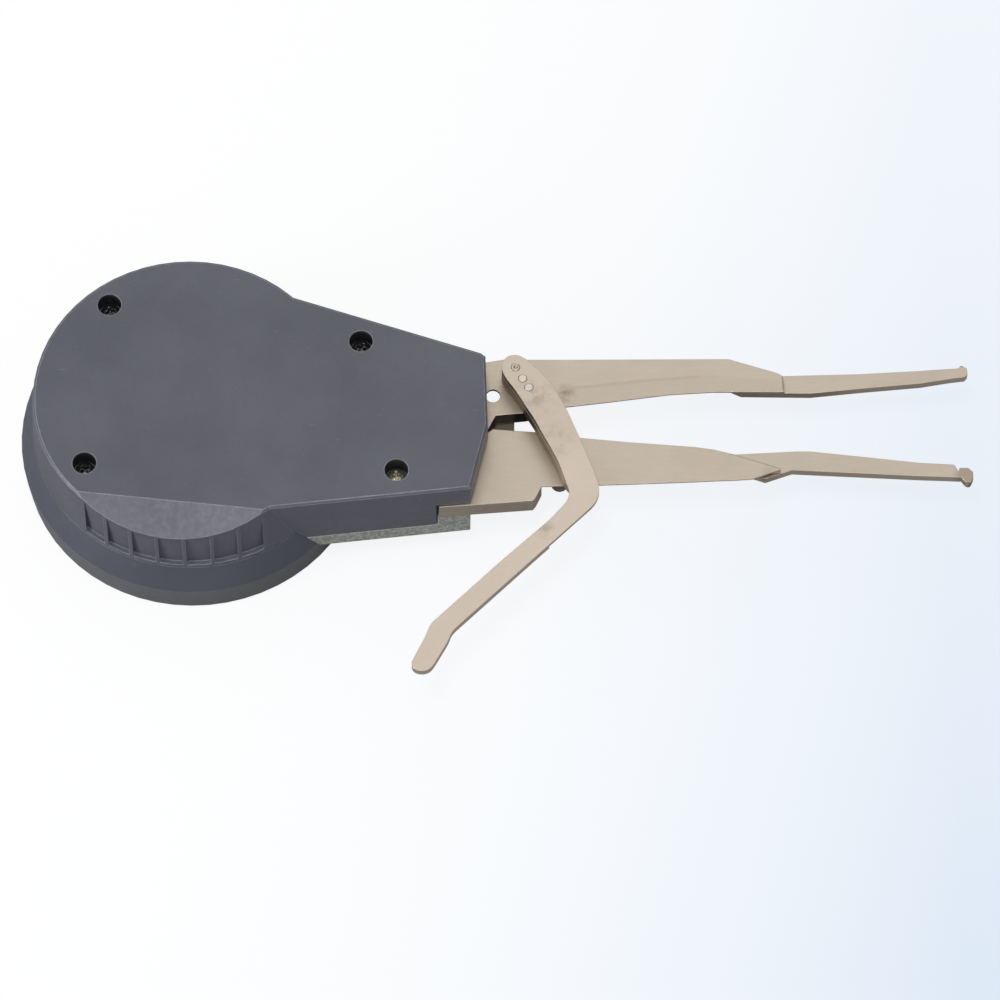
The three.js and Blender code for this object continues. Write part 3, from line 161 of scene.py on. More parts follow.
# Scales of the finishes' patterns, along X, Y and Z where there are three
NOISE_RANGE = (0.3, 0.7)
PAINT_CHIPS = 420
PAINT_CLOUDS = 38
PAINT_GRAIN = 5200
PAINT_SPECKS = 2300
PAINT_SHEEN = 900
PAINT_RUBS = (260, 2600, 900)
PAINT_RUBS_TURN = math.radians(24)
CAST_GRAINS = 1500
CAST_PITS = 1300
METAL_LINES = (220, 9000, 9000)
METAL_CLOUDS = 70
METAL_SMUDGES = 430
METAL_CHIPS = 500
PLASTIC_GRAIN = 3600
PLASTIC_CLOUDS = 160
GLASS_SMEARS = 900
GLASS_WAVES = 60

# Bumps, each as a distance and a strength
PAINT_BUMPS = (0.00006, 0.35)
CAST_BUMPS = (0.00022, 0.7)
METAL_BUMPS = (0.00003, 0.3)
PLASTIC_BUMPS = (0.00002, 0.2)
GLASS_BUMPS = (0.00001, 0.05)

# How upright a face is, by the size of its normal's Z: not at all, and fully
UPRIGHT_RANGE = (0.6, 0.3)

# The share of a mark's or a line's reach over which it comes to its full tone
MARK_FADE = 0.4
STROKE_FADE = 0.15

# The crease between the bezel's cone and its lower band, and half its softness
BEZEL_CREASE = 0.0085
CREASE_HALF = 0.00005

# Painted shade in the wells round the cover screws, and on one side of the first rivet's hollow
WELL_SHADE_REACH = 0.0052
WELL_SHADE_HEIGHT = 0.0262
HOLLOW_SHADE_HEIGHT = 0.0267
HOLLOW_SHADE_SHIFT = Vector((0.0003, 0.0003, 0))
HOLLOW_SHADE_REACH = 0.0014

# The floor: half its side, its gap to the object, where its tint starts and is full along X,
# what it loses across Y, and how much of what the camera sees of it is its own glow
FLOOR_HALF = 3.0
FLOOR_GAP = 0.0002
FLOOR_ALONG = (-0.108, 0.170)
FLOOR_ACROSS = (0.250, -0.125)
FLOOR_ACROSS_LOSS = -0.4
FLOOR_TINT_POWER = 3.0
FLOOR_GRAIN = 400
FLOOR_GRAIN_SHARE = 0.03
FLOOR_GLOW = 1.02
FLOOR_GLOW_SHARE = 0.87
FLOOR_BOUNCE = (0.36, 0.36, 0.36, 1)

# Light. Each lamp has a name, a place, what it aims at, a width and a power.
WORLD_COLOUR = (0.96, 0.98, 1.0, 1)
WORLD_STRENGTH = 0.45
LAMPS = (
    ("overhead", (0.0, -0.28, 1.05), (0.05, 0, 0), 0.25, 3.2),
    ("behind", (0.15, 0.75, 0.95), (0.05, 0, 0), 0.8, 1.1),
    ("left", (-1.25, -0.55, 0.42), (0.03, 0, 0), 0.6, 9.0),
)


def linear(red, green, blue):
    """A colour as it looks on a screen, from 0 to 255, as the light that it stands for."""
    def light(value):
        share = value / 255
        return share / 12.92 if share <= 0.04045 else ((share + 0.055) / 1.055) ** 2.4
    return (light(red), light(green), light(blue), 1.0)


class Finish:
    """The nodes of one finish, added in the order in which they are used."""

    def __init__(self, name):
        self.material = bpy.data.materials.new(name)
        self.material.use_nodes = True
        self.tree = self.material.node_tree
        self.tree.nodes.clear()
        self.output = self.add("ShaderNodeOutputMaterial")
        self.shader = self.add("ShaderNodeBsdfPrincipled")
        self.join(self.shader.outputs["BSDF"], self.output.inputs["Surface"])
        coordinates = self.add("ShaderNodeTexCoord")
        self.place = coordinates.outputs["Object"]
        self.facing = coordinates.outputs["Normal"]

    def add(self, kind):
        return self.tree.nodes.new(kind)

    def join(self, source, target):
        """Links another node's output to a socket, or sets the socket to a plain value."""
        if isinstance(source, bpy.types.NodeSocket):
            self.tree.links.new(source, target)
        else:
            target.default_value = source

    def put(self, name, value):
        self.join(value, self.shader.inputs[name])

    def spot(self, stretch, turn=0.0):
        """The place on the object, stretched along each axis and turned about Z."""
        mapping = self.add("ShaderNodeMapping")
        mapping.inputs["Scale"].default_value = stretch
        mapping.inputs["Rotation"].default_value = (0, 0, turn)
        self.join(self.place, mapping.inputs["Vector"])
        return mapping.outputs["Vector"]

    def noise(self, scale, detail, rough=0.5, place=None):
        node = self.add("ShaderNodeTexNoise")
        node.inputs["Scale"].default_value = scale
        node.inputs["Detail"].default_value = detail
        node.inputs["Roughness"].default_value = rough
        self.join(place or self.place, node.inputs["Vector"])
        return node.outputs["Fac"]

    def grains(self, scale):
        node = self.add("ShaderNodeTexVoronoi")
        node.inputs["Scale"].default_value = scale
        self.join(self.place, node.inputs["Vector"])
        return node.outputs["Distance"]

    def axes(self, vector):
        split = self.add("ShaderNodeSeparateXYZ")
        self.join(vector, split.inputs["Vector"])
        return split.outputs

    def span(self, value, low, high, to_low=0.0, to_high=1.0):
        """One range of a value as another one, without going past its ends."""
        node = self.add("ShaderNodeMapRange")
        node.inputs["From Min"].default_value = low
        node.inputs["From Max"].default_value = high
        node.inputs["To Min"].default_value = to_low
        node.inputs["To Max"].default_value = to_high
        self.join(value, node.inputs["Value"])
        return node.outputs["Result"]

    def spread(self, noise, to_low, to_high):
        """The range that a noise mostly fills, as another one."""
        return self.span(noise, *NOISE_RANGE, to_low, to_high)

    def maths(self, operation, first, second=None):
        node = self.add("ShaderNodeMath")
        node.operation = operation
        self.join(first, node.inputs[0])
        if second is not None:
            self.join(second, node.inputs[1])
        return node.outputs["Value"]

    def times(self, first, second):
        return self.maths("MULTIPLY", first, second)

    def measure(self, operation, first, second):
        """A number that two vectors give."""
        node = self.add("ShaderNodeVectorMath")
        node.operation = operation
        self.join(first, node.inputs[0])
        self.join(second, node.inputs[1])
        return node.outputs["Value"]

    def mixed(self, share, first, second):
        node = self.add("ShaderNodeMix")
        node.data_type = "RGBA"
        self.join(share, node.inputs[MIX_SHARE])
        self.join(first, node.inputs[MIX_FIRST])
        self.join(second, node.inputs[MIX_SECOND])
        return node.outputs[MIX_RESULT]

    def near(self, centre, radius):
        """1 at a point, fading to 0 at a distance from it."""
        distance = self.measure("DISTANCE", self.place, centre)
        return self.span(distance, 0.0, radius, to_low=1.0, to_high=0.0)

    def marked(self, tone, marks, mask=None):
        """The tone with other ones at places, full near each centre and fading outwards."""
        for centre, radius, colour in marks:
            share = self.span(self.near(centre, radius), 0.0, MARK_FADE)
            if mask is not None:
                share = self.times(mask, share)
            tone = self.mixed(share, tone, colour)
        return tone

    def stroke(self, start, end, half_width):
        """1 along a line across a level face, fading to 0 beside it and at its ends."""
        middle = (start + end) / 2
        aside = (end - start).cross(Vector((0, 0, 1))).normalized()
        level = middle.dot(aside)
        offset = self.measure("DOT_PRODUCT", self.place, aside)
        before = self.span(offset, level - half_width, level)
        after = self.span(offset, level + half_width, level)
        within = self.span(self.near(middle, (end - start).length / 2), 0.0, STROKE_FADE)
        return self.times(self.times(before, after), within)

    def rounded(self, radius):
        """The surface's normal with its edges rounded."""
        node = self.add("ShaderNodeBevel")
        node.samples = EDGE_SAMPLES
        node.inputs["Radius"].default_value = radius
        return node.outputs["Normal"]

    def upright(self, level=0.0, side=1.0):
        """One value on level faces and another on a plate's upright sides."""
        size = self.maths("ABSOLUTE", self.axes(self.facing)["Z"])
        return self.span(size, *UPRIGHT_RANGE, level, side)

    def worn_edges(self, rounded, wear):
        """1 along edges, where the rounded surface leaves the flat one."""
        geometry = self.add("ShaderNodeNewGeometry")
        alike = self.measure("DOT_PRODUCT", rounded, geometry.outputs["Normal"])
        return self.span(alike, *wear)

    def chipped_edges(self, rounded, wear, scale):
        """Worn edges that a noise breaks up."""
        worn = self.worn_edges(rounded, wear)
        return self.times(worn, self.span(self.noise(scale, detail=3), 0.3, 0.6, to_low=0.4))

    def bumps(self, height, distance, strength, normal=None):
        node = self.add("ShaderNodeBump")
        node.inputs["Strength"].default_value = strength
        node.inputs["Distance"].default_value = distance
        self.join(height, node.inputs["Height"])
        if normal is not None:
            self.join(normal, node.inputs["Normal"])
        self.join(node.outputs["Normal"], self.shader.inputs["Normal"])


def paint(name, dark, light, worn, rough, band=None, painted_side_shading=()):
    """Satin paint with a fine grain, specks and rubbed streaks. A band is a height below which the
    tones differ. The painted side shading holds places of painted shade and painted reflection,
    which show on upright sides only. Light edges are partly wear and partly a painted highlight,
    stronger on level faces."""
    finish = Finish(name)
    rounded = finish.rounded(PAINT_EDGE)
    edge = finish.chipped_edges(rounded, PAINT_WEAR_AND_HIGHLIGHT, PAINT_CHIPS)
    cloud = finish.span(finish.noise(PAINT_CLOUDS, detail=4, rough=0.6), 0.35, 0.65)
    grain = finish.noise(PAINT_GRAIN, detail=2, rough=0.7)
    base = finish.mixed(cloud, dark, light)
    if band:
        height, band_dark, band_light = band
        lower = finish.span(
            finish.axes(finish.place)["Z"], height + CREASE_HALF, height - CREASE_HALF)
        base = finish.mixed(lower, base, finish.mixed(cloud, band_dark, band_light))
    # Painted shade and painted reflection on upright sides
    if painted_side_shading:
        base = finish.marked(base, painted_side_shading, finish.upright())
    speck = finish.span(finish.noise(PAINT_SPECKS, detail=1), 0.74, 0.78, to_high=0.2)
    dotted = finish.mixed(speck, base, worn)
    shade = finish.mixed(finish.spread(grain, to_low=0.0, to_high=0.16), dotted, BLACK)
    rub = finish.noise(
        scale=1.0, detail=3, rough=0.6, place=finish.spot(PAINT_RUBS, PAINT_RUBS_TURN))
    rubbed = finish.mixed(finish.span(rub, 0.68, 0.74, to_high=0.22), shade, worn)
    # Light edges: partly wear, partly a painted highlight, full on level faces and weaker on
    # upright ones
    shown = finish.times(edge, finish.upright(level=1.0, side=0.3))
    finish.put("Base Color", finish.mixed(shown, rubbed, worn))
    sheen = finish.noise(PAINT_SHEEN, detail=3)
    finish.put("Roughness", finish.spread(sheen, to_low=rough - 0.06, to_high=rough + 0.07))
    finish.put("Specular IOR Level", 0.45)
    finish.bumps(grain, *PAINT_BUMPS, rounded)
    return finish.material


def casting(name):
    """Rough cast light metal, pitted, with a few bright grains."""
    finish = Finish(name)
    rounded = finish.rounded(CAST_EDGE)
    grains = finish.grains(CAST_GRAINS)
    pits = finish.noise(CAST_PITS, detail=4, rough=0.6)
    base = finish.mixed(
        finish.span(pits, 0.35, 0.62), linear(140, 142, 136), linear(196, 198, 191))
    sparkle = finish.span(grains, 0.0, 0.25, to_low=0.5, to_high=0.0)
    bright = finish.mixed(sparkle, base, linear(236, 236, 231))
    edge = finish.times(finish.worn_edges(rounded, METAL_WEAR), 0.7)
    finish.put("Base Color", finish.mixed(edge, bright, linear(222, 222, 216)))
    finish.put("Metallic", 0.35)
    finish.put("Roughness", finish.spread(pits, to_low=0.5, to_high=0.75))
    finish.bumps(pits, *CAST_BUMPS, rounded)
    return finish.material


def brushed(
        name, base, dark, worn, rough, metallic=1.0, scuffs=(), painted_side_shading=(), painted_shading=(), shade_lines=()):
    """Satin metal with fine lines along X, darker stains and bright edges. Scuffs are smudged
    places. The painted side shading shows on sides only and the painted shading on every face:
    both are painted shade, and for one screw a painted glint. The shade lines are painted shade
    along lines where faces bend or end."""
    finish = Finish(name)
    rounded = finish.rounded(METAL_EDGE)
    lines = finish.noise(scale=1.0, detail=3, rough=0.6, place=finish.spot(METAL_LINES))
    cloud = finish.span(finish.noise(METAL_CLOUDS, detail=4, rough=0.6), 0.35, 0.7)
    tone = finish.mixed(finish.spread(lines, to_low=0.0, to_high=0.2), base, dark)
    stained = finish.mixed(finish.times(cloud, 0.3), tone, dark)
    smudge = finish.span(
        finish.noise(METAL_SMUDGES, detail=4, rough=0.7), 0.42, 0.62, to_high=0.85)
    # Painted shade, and painted glints, on every face
    stained = finish.marked(stained, painted_shading)
    for centre, radius, colour in scuffs:
        scuffed = finish.times(finish.near(centre, radius), smudge)
        stained = finish.mixed(scuffed, stained, colour)
    # Painted shade on upright sides
    if painted_side_shading:
        stained = finish.marked(stained, painted_side_shading, finish.upright())
    # Painted shade along lines where faces bend or end
    for start, end, half_width, colour in shade_lines:
        stained = finish.mixed(finish.stroke(start, end, half_width), stained, colour)
    edge = finish.chipped_edges(rounded, METAL_WEAR, METAL_CHIPS)
    finish.put("Base Color", finish.mixed(edge, stained, worn))
    finish.put("Metallic", metallic)
    finish.put("Roughness", finish.spread(lines, to_low=rough - 0.05, to_high=rough + 0.08))
    finish.bumps(lines, *METAL_BUMPS, rounded)
    return finish.material


def plastic(name, base, other, rough):
    """Matt plastic, enamel or ink, with faint clouds between two tones."""
    finish = Finish(name)
    rounded = finish.rounded(PLASTIC_EDGE)
    grain = finish.noise(PLASTIC_GRAIN, detail=2)
    cloud = finish.span(finish.noise(PLASTIC_CLOUDS, detail=3), 0.35, 0.65)
    finish.put("Base Color", finish.mixed(cloud, base, other))
    finish.put("Roughness", finish.spread(grain, to_low=rough - 0.05, to_high=rough + 0.05))
    finish.bumps(grain, *PLASTIC_BUMPS, rounded)
    return finish.material


def clear_glass(name):
    """Clear glass, slightly smeared and wavy."""
    finish = Finish(name)
    finish.put("Base Color", WHITE)
    finish.put("Transmission Weight", 1.0)
    finish.put("IOR", 1.45)
    smears = finish.span(finish.noise(GLASS_SMEARS, detail=3), 0.55, 0.75, to_high=0.04)
    finish.put("Roughness", smears)
    finish.bumps(finish.noise(GLASS_WAVES, detail=1), *GLASS_BUMPS)
    return finish.material


def mark(centre, reach, tone):
    """A place with another tone for a finish; scuffs use it, and so do places of painted shade and
    light.
    """
    return Vector(centre), reach, linear(*tone)


def seam(start, end, half_width, tone):
    """A line of painted shade, where a face bends or ends."""
    return Vector(start), Vector(end), half_width, linear(*tone)


def over(node, height):
    """The point at a height over the middle of a CAD node."""
    low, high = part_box(node)
    return Vector((*((low + high) / 2).xy, height))


finishes = {
    "cover_paint": paint(
        "cover_paint", linear(94, 95, 105), linear(103, 104, 114), linear(166, 168, 172), 0.4,
        # A painted reflection on the end wall by the arms, and painted shade in the wells of the
        # cover screws
        painted_side_shading=[mark((0.0647, -0.0150, 0.0250), 0.0090, (122, 120, 120))] + [
            mark(over(screw, WELL_SHADE_HEIGHT), WELL_SHADE_REACH, (46, 47, 51)) for screw in CROSS_TURNS]),
    "bezel_paint": paint(
        "bezel_paint", linear(82, 84, 97), linear(90, 92, 104), linear(138, 140, 146), 0.42,
        band=(BEZEL_CREASE, linear(106, 107, 112), linear(114, 115, 119))),
    "cast_metal": casting("cast_metal"),
    "nickel": brushed(
        "nickel", linear(217, 203, 185), linear(193, 178, 160), linear(230, 218, 203), 0.4,
        scuffs=[mark((0.0832, 0.0046, 0.0215), 0.0030, (146, 128, 111))],
        # Painted shade on the moving arm's side between the arms and on the moving leg's side
        painted_side_shading=[
            mark((0.0700, -0.0020, 0.0190), 0.0100, (50, 49, 44)),
            mark((0.1290, 0.0065, 0.0155), 0.0200, (180, 168, 152)),
        ],
        # Painted shade on the lip between the arms, on the fixed arm's end and near the fixed
        # leg's tip
        painted_shading=[
            mark((0.0705, -0.0020, 0.0169), 0.0050, (156, 145, 129)),
            mark((0.1285, -0.0147, 0.0192), 0.0030, (196, 182, 165)),
            mark((0.1732, -0.0142, 0.0185), 0.0040, (188, 170, 150)),
        ],
        # Painted shade lines: the moving arm's fold, its end over the leg, and an edge near the
        # fixed arm's end
        shade_lines=[
            seam((0.0810, 0.0056, 0.0215), (0.1005, 0.0080, 0.0215), 0.0006, (202, 189, 172)),
            seam((0.0985, 0.0078, 0.0215), (0.1140, 0.0093, 0.0215), 0.0006, (202, 189, 172)),
            seam((0.1318, 0.0095, 0.0215), (0.1322, 0.0045, 0.0212), 0.0003, (151, 142, 129)),
            seam((0.1195, -0.0099, 0.0213), (0.1325, -0.0143, 0.0213), 0.0003, (176, 166, 151)),
        ]),
    # A lighter copy of nickel: painted light, as the lever catches more light than the arms
    "lever_nickel_painted_light": brushed(
        "lever_nickel_painted_light", linear(230, 214, 197), linear(214, 198, 180), linear(238, 226, 211), 0.4,
        scuffs=[
            mark((0.0768, 0.0008, 0.0272), 0.0065, (186, 170, 153)),
            mark((0.0806, -0.0104, 0.0272), 0.0060, (192, 176, 159)),
            mark((0.0785, -0.0322, 0.0272), 0.0030, (184, 168, 150)),
        ],
        # Painted shade on the lever's left side and its spacer
        painted_side_shading=[mark((0.0680, 0.0060, 0.0262), 0.0330, (152, 140, 119))],
        # Painted shade over the lever's upper limb, which catches less light than its tail
        painted_shading=[mark((0.0760, 0.0020, 0.0272), 0.0200, (220, 205, 187))]),
    "contact": brushed(
        "contact", linear(152, 142, 130), linear(120, 110, 99), linear(176, 166, 153), 0.6),
    "steel": brushed(
        "steel", linear(190, 190, 188), linear(150, 148, 146), linear(226, 226, 224), 0.3),
    "dark_steel": brushed(
        "dark_steel", linear(70, 62, 56), linear(46, 41, 38), linear(120, 110, 100), 0.42, 0.7),
    "rivet": brushed(
        "rivet", linear(236, 224, 208), linear(208, 194, 176), linear(244, 234, 220), 0.34,
        # Painted shade on one side of the first rivet's hollow
        painted_shading=[mark(
            over("lever_rivet_1", HOLLOW_SHADE_HEIGHT) + HOLLOW_SHADE_SHIFT, HOLLOW_SHADE_REACH, (206, 192, 175))]),
    "brass": brushed(
        "brass", linear(226, 188, 112), linear(196, 156, 84), linear(244, 214, 150), 0.3),
    "glass": clear_glass("glass"),
    "dial_white": plastic("dial_white", linear(240, 238, 230), linear(246, 245, 239), 0.6),
    "pointer_black": plastic("pointer_black", linear(26, 26, 28), linear(34, 34, 37), 0.45),
}
screw_black = brushed(
    "screw_black", linear(112, 112, 111), linear(66, 66, 66), linear(160, 159, 154), 0.28, 0.9,
    # A painted glint on the fourth cover screw
    painted_shading=[mark((0.0458, -0.0175, 0.0240), 0.0080, (216, 210, 186))])
ink_black = plastic("ink_black", linear(24, 24, 26), linear(30, 30, 32), 0.55)

# Nodes whose finish isn't the one that bears their material slot's name
FINISH_OF = {
    "trigger_lever": "lever_nickel_painted_light",
    "lever_spacer": "lever_nickel_painted_light",
    "lever_rivet_1": "rivet",
    "lever_rivet_2": "rivet",
    "lever_rivet_3": "rivet",
    "arm_stop_pin": "contact",
    "fixed_contact": "contact",
    "moving_contact": "contact",
}


def finish_of(node):
    return finishes[FINISH_OF.get(node, slot_of[node])]


def smoothing(bend):
    """Joins a mesh's corners and shades its flat strips as the curve they stand for."""
    group = bpy.data.node_groups.new("smoothing", "GeometryNodeTree")
    group.interface.new_socket("Geometry", in_out="INPUT", socket_type="NodeSocketGeometry")
    group.interface.new_socket("Geometry", in_out="OUTPUT", socket_type="NodeSocketGeometry")
    entry = group.nodes.new("NodeGroupInput")
    leave = group.nodes.new("NodeGroupOutput")
    merge = group.nodes.new("GeometryNodeMergeByDistance")
    merge.inputs["Distance"].default_value = MERGE_DISTANCE
    faces = group.nodes.new("GeometryNodeSetShadeSmooth")
    faces.domain = "FACE"
    edges = group.nodes.new("GeometryNodeSetShadeSmooth")
    edges.domain = "EDGE"
    angle = group.nodes.new("GeometryNodeInputMeshEdgeAngle")
    gentle = group.nodes.new("FunctionNodeCompare")
    gentle.data_type = "FLOAT"
    gentle.operation = "LESS_THAN"
    gentle.inputs[1].default_value = bend
    join = group.links.new
    join(entry.outputs[0], merge.inputs["Geometry"])
    join(merge.outputs["Geometry"], faces.inputs["Geometry"])
    join(faces.outputs["Geometry"], edges.inputs["Geometry"])
    join(angle.outputs["Unsigned Angle"], gentle.inputs[0])
    join(gentle.outputs["Result"], edges.inputs["Shade Smooth"])
    join(edges.outputs["Geometry"], leave.inputs[0])
    return group


smoothing_groups = {
    bend: smoothing(bend) for bend in {SMOOTH_ANGLE, *SMOOTH_ANGLES.values()}}


def smooth(piece, bend=SMOOTH_ANGLE):
    modifier = piece.modifiers.new("smoothing", "NODES")
    modifier.node_group = smoothing_groups[bend]


def dress(piece, material):
    """Gives a CAD node a finish, on its object's slots."""
    for slot in piece.material_slots:
        slot.link = "OBJECT"
        slot.material = material


def add_object(name, data):
    added = bpy.data.objects.new(name, data)
    bpy.context.scene.collection.objects.link(added)
    return added


def plain_object(name, form):
    mesh = bpy.data.meshes.new(name)
    form.to_mesh(mesh)
    form.free()
    return add_object(name, mesh)


def make(name, body, material, mesh):
    """A piece of the object from its finished mesh."""
    mesh.name = name
    mesh.materials.append(material)
    piece = add_object(name, mesh)
    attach(piece, body)
    return piece


def settled(source):
    """The mesh that an object's modifiers or text come to."""
    shown = bpy.context.evaluated_depsgraph_get()
    return bpy.data.meshes.new_from_object(source.evaluated_get(shown))


def less(body, tool):
    """Cuts one form out of another."""
    modifier = body.modifiers.new("cut", "BOOLEAN")
    modifier.operation = "DIFFERENCE"
    modifier.solver = "EXACT"
    modifier.object = tool
    mesh = settled(body)
    body.modifiers.remove(modifier)
    body.data = mesh
    bpy.data.objects.remove(tool)


def cut_mesh(form, tools):
    """The mesh of a form with others cut out of it."""
    body = plain_object("form", form)
    for tool in tools:
        less(body, tool)
    mesh = body.data
    bpy.data.objects.remove(body)
    return mesh


def top_loops(node):
    """The outline of a plate's upper face and of its holes, as lists of flat points."""
    source = bmesh.new()
    source.from_mesh(nodes[node].data)
    bmesh.ops.remove_doubles(source, verts=source.verts, dist=MERGE_DISTANCE)
    top = max(vertex.co.z for vertex in source.verts)
    flat = [
        face for face in source.faces
        if all(abs(vertex.co.z - top) < MERGE_DISTANCE for vertex in face.verts)
    ]
    after = {}
    for face in flat:
        for loop in face.loops:
            if not any(other in flat for other in loop.edge.link_faces if other is not face):
                after[loop.vert.index] = loop.link_loop_next.vert.index
    source.verts.ensure_lookup_table()
    loops = []
    while after:
        points = []
        step = next(iter(after))
        while step in after:
            points.append(source.verts[step].co.xy.copy())
            step = after.pop(step)
        loops.append(points)
    source.free()
    return loops


def rounded_loop(points, reach):
    """The outline with each corner turned into a short curve."""
    curve = []
    for k, point in enumerate(points):
        before = points[k - 1] - point
        after = points[(k + 1) % len(points)] - point
        start = point + before.normalized() * min(reach, before.length * ROUNDING_SHARE)
        end = point + after.normalized() * min(reach, after.length * ROUNDING_SHARE)
        for n in range(ROUNDING_STEPS + 1):
            share = n / ROUNDING_STEPS
            curve.append(
                start * (1 - share) ** 2 + point * 2 * share * (1 - share) + end * share ** 2)
    return curve


def reliefs(node, low, high):
    """The room cut from a CAD plate's underside, as forms to cut a finer plate with."""
    inner = [
        vertex.co for vertex in nodes[node].data.vertices
        if low.z + RELIEF_SKIN < vertex.co.z < high.z - RELIEF_SKIN
    ]
    if not inner:
        return []
    start, end = (limit(at.y for at in inner) for limit in (min, max))
    form = bmesh.new()
    bmesh.ops.create_cube(form, size=1)
    size = Vector((
        high.x - low.x + 2 * RELIEF_MARGIN, end - start, inner[0].z - low.z + RELIEF_MARGIN))
    middle = Vector(((low.x + high.x) / 2, (start + end) / 2, inner[0].z - size.z / 2))
    bmesh.ops.transform(
        form, matrix=Matrix.Translation(middle) @ Matrix.Diagonal((*size, 1)), verts=form.verts[:])
    return [plain_object("relief", form)]


def finer_plate(node, reach):
    """A plate with rounded corners in the place of a CAD plate, relieved below as that one is."""
    low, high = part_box(node)
    plate = bmesh.new()
    rims = []
    for points in top_loops(node):
        ring = [plate.verts.new((at.x, at.y, low.z)) for at in rounded_loop(points, reach)]
        rims += [plate.edges.new((ring[k - 1], ring[k])) for k in range(len(ring))]
    bmesh.ops.triangle_fill(plate, use_beauty=True, edges=rims)
    raised = bmesh.ops.extrude_face_region(plate, geom=plate.faces[:])
    upper = [part for part in raised["geom"] if isinstance(part, bmesh.types.BMVert)]
    bmesh.ops.translate(plate, verts=upper, vec=(0, 0, high.z - low.z))
    bmesh.ops.recalc_face_normals(plate, faces=plate.faces[:])
    mesh = cut_mesh(plate, reliefs(node, low, high))
    piece = make(f"{node}_plate", nodes[node]["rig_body"], finish_of(node), mesh)
    smooth(piece)
    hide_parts(node)


def lathe(profile, centre, steps):
    """A closed form turned about an upright axis, from (radius, height) pairs."""
    form = bmesh.new()
    rings = []
    for radius, height in profile:
        if radius == 0:
            rings.append([form.verts.new((centre.x, centre.y, height))])
        else:
            turns = [2 * math.pi * k / steps for k in range(steps)]
            rings.append([
                form.verts.new((
                    centre.x + radius * math.cos(turn),
                    centre.y + radius * math.sin(turn),
                    height,
                )) for turn in turns])
    for lower, upper in zip(rings, rings[1:]):
        for k in range(steps):
            corners = [lower[(k - 1) % len(lower)], lower[k % len(lower)],
                       upper[k % len(upper)], upper[(k - 1) % len(upper)]]
            form.faces.new(list(dict.fromkeys(corners)))
    bmesh.ops.recalc_face_normals(form, faces=form.faces[:])
    return form


def cross(centre, top, turn):
    """A tapering cross, to cut a screw's recess with."""
    length, width = CROSS_HALF_LENGTH, CROSS_HALF_WIDTH
    plan = [(length, -width), (length, width), (width, width), (width, length),
            (-width, length), (-width, width), (-length, width), (-length, -width),
            (-width, -width), (-width, -length), (width, -length), (width, -width)]
    levels = [(top - CROSS_DEPTH, CROSS_TAPER), (top, 1.0), (top + CROSS_DEPTH, CROSS_FLARE)]
    form = bmesh.new()
    rings = [
        [form.verts.new((x * share, y * share, height)) for x, y in plan]
        for height, share in levels]
    for lower, upper in zip(rings, rings[1:]):
        for k in range(len(plan)):
            form.faces.new((lower[k - 1], lower[k], upper[k], upper[k - 1]))
    form.faces.new(rings[0])
    form.faces.new(rings[-1])
    bmesh.ops.recalc_face_normals(form, faces=form.faces[:])
    place = Matrix.Translation((centre.x, centre.y, 0)) @ Matrix.Rotation(turn, 4, "Z")
    bmesh.ops.transform(form, matrix=place, verts=form.verts[:])
    return form


def finer_screw(node, turn):
    """A domed screw with a cross recess in the place of a CAD screw."""
    low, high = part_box(node)
    centre = (low + high) / 2
    radius = (high.x - low.x) / 2
    seat = high.z - SCREW_HEAD
    point_radius, point_height = (SCREW_SHANK * share for share in SCREW_POINT)
    profile = [
        (0, low.z), (point_radius, low.z), (SCREW_SHANK, low.z + point_height),
        (SCREW_SHANK, seat), (radius, seat),
        *((radius - SCREW_RIM * inset, high.z - SCREW_RIM * drop) for inset, drop in SCREW_DOME),
        (radius * SCREW_FLAT_SHARE, high.z), (0, high.z),
    ]
    recess = plain_object("screw_recess", cross(centre, high.z, turn))
    mesh = cut_mesh(lathe(profile, centre, SCREW_STEPS), [recess])
    piece = make(f"{node}_head", nodes[node]["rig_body"], screw_black, mesh)
    smooth(piece)
    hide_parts(node)


def print_ticks(front):
    """The dial's graduations and its inner circle."""
    form = bmesh.new()

    def raised(corners):
        low = [form.verts.new((x, y, front - INK)) for x, y in corners]
        high = [form.verts.new((x, y, front)) for x, y in corners]
        form.faces.new(low)
        form.faces.new(high)
        for k in range(len(corners)):
            form.faces.new((low[k - 1], low[k], high[k], high[k - 1]))

    def spoke(angle, inner, outer, width):
        along = Vector((-math.sin(angle), math.cos(angle)))
        aside = Vector((along.y, -along.x)) * width / 2
        raised([along * inner - aside, along * inner + aside,
                along * outer + aside, along * outer - aside])

    for k in range(DIAL_DIVISIONS):
        kind = next(step for step in TICK_LENGTHS if k % step == 0)
        spoke(2 * math.pi * k / DIAL_DIVISIONS, TICK_OUTER - TICK_LENGTHS[kind],
              TICK_OUTER, TICK_WIDTHS[kind])
    step = 2 * math.pi / DIAL_CIRCLE_STEPS
    inner, outer = DIAL_CIRCLE_RADIUS, DIAL_CIRCLE_RADIUS + DIAL_CIRCLE_WIDTH
    for k in range(DIAL_CIRCLE_STEPS):
        start, end = k * step, (k + 1) * step
        raised([
            (radius * math.cos(angle), radius * math.sin(angle))
            for radius, angle in ((inner, start), (outer, start), (outer, end), (inner, end))])
    bmesh.ops.recalc_face_normals(form, faces=form.faces[:])
    ticks = plain_object("dial_ticks", form)
    ticks.data.materials.append(ink_black)
    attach(ticks, "bezel")


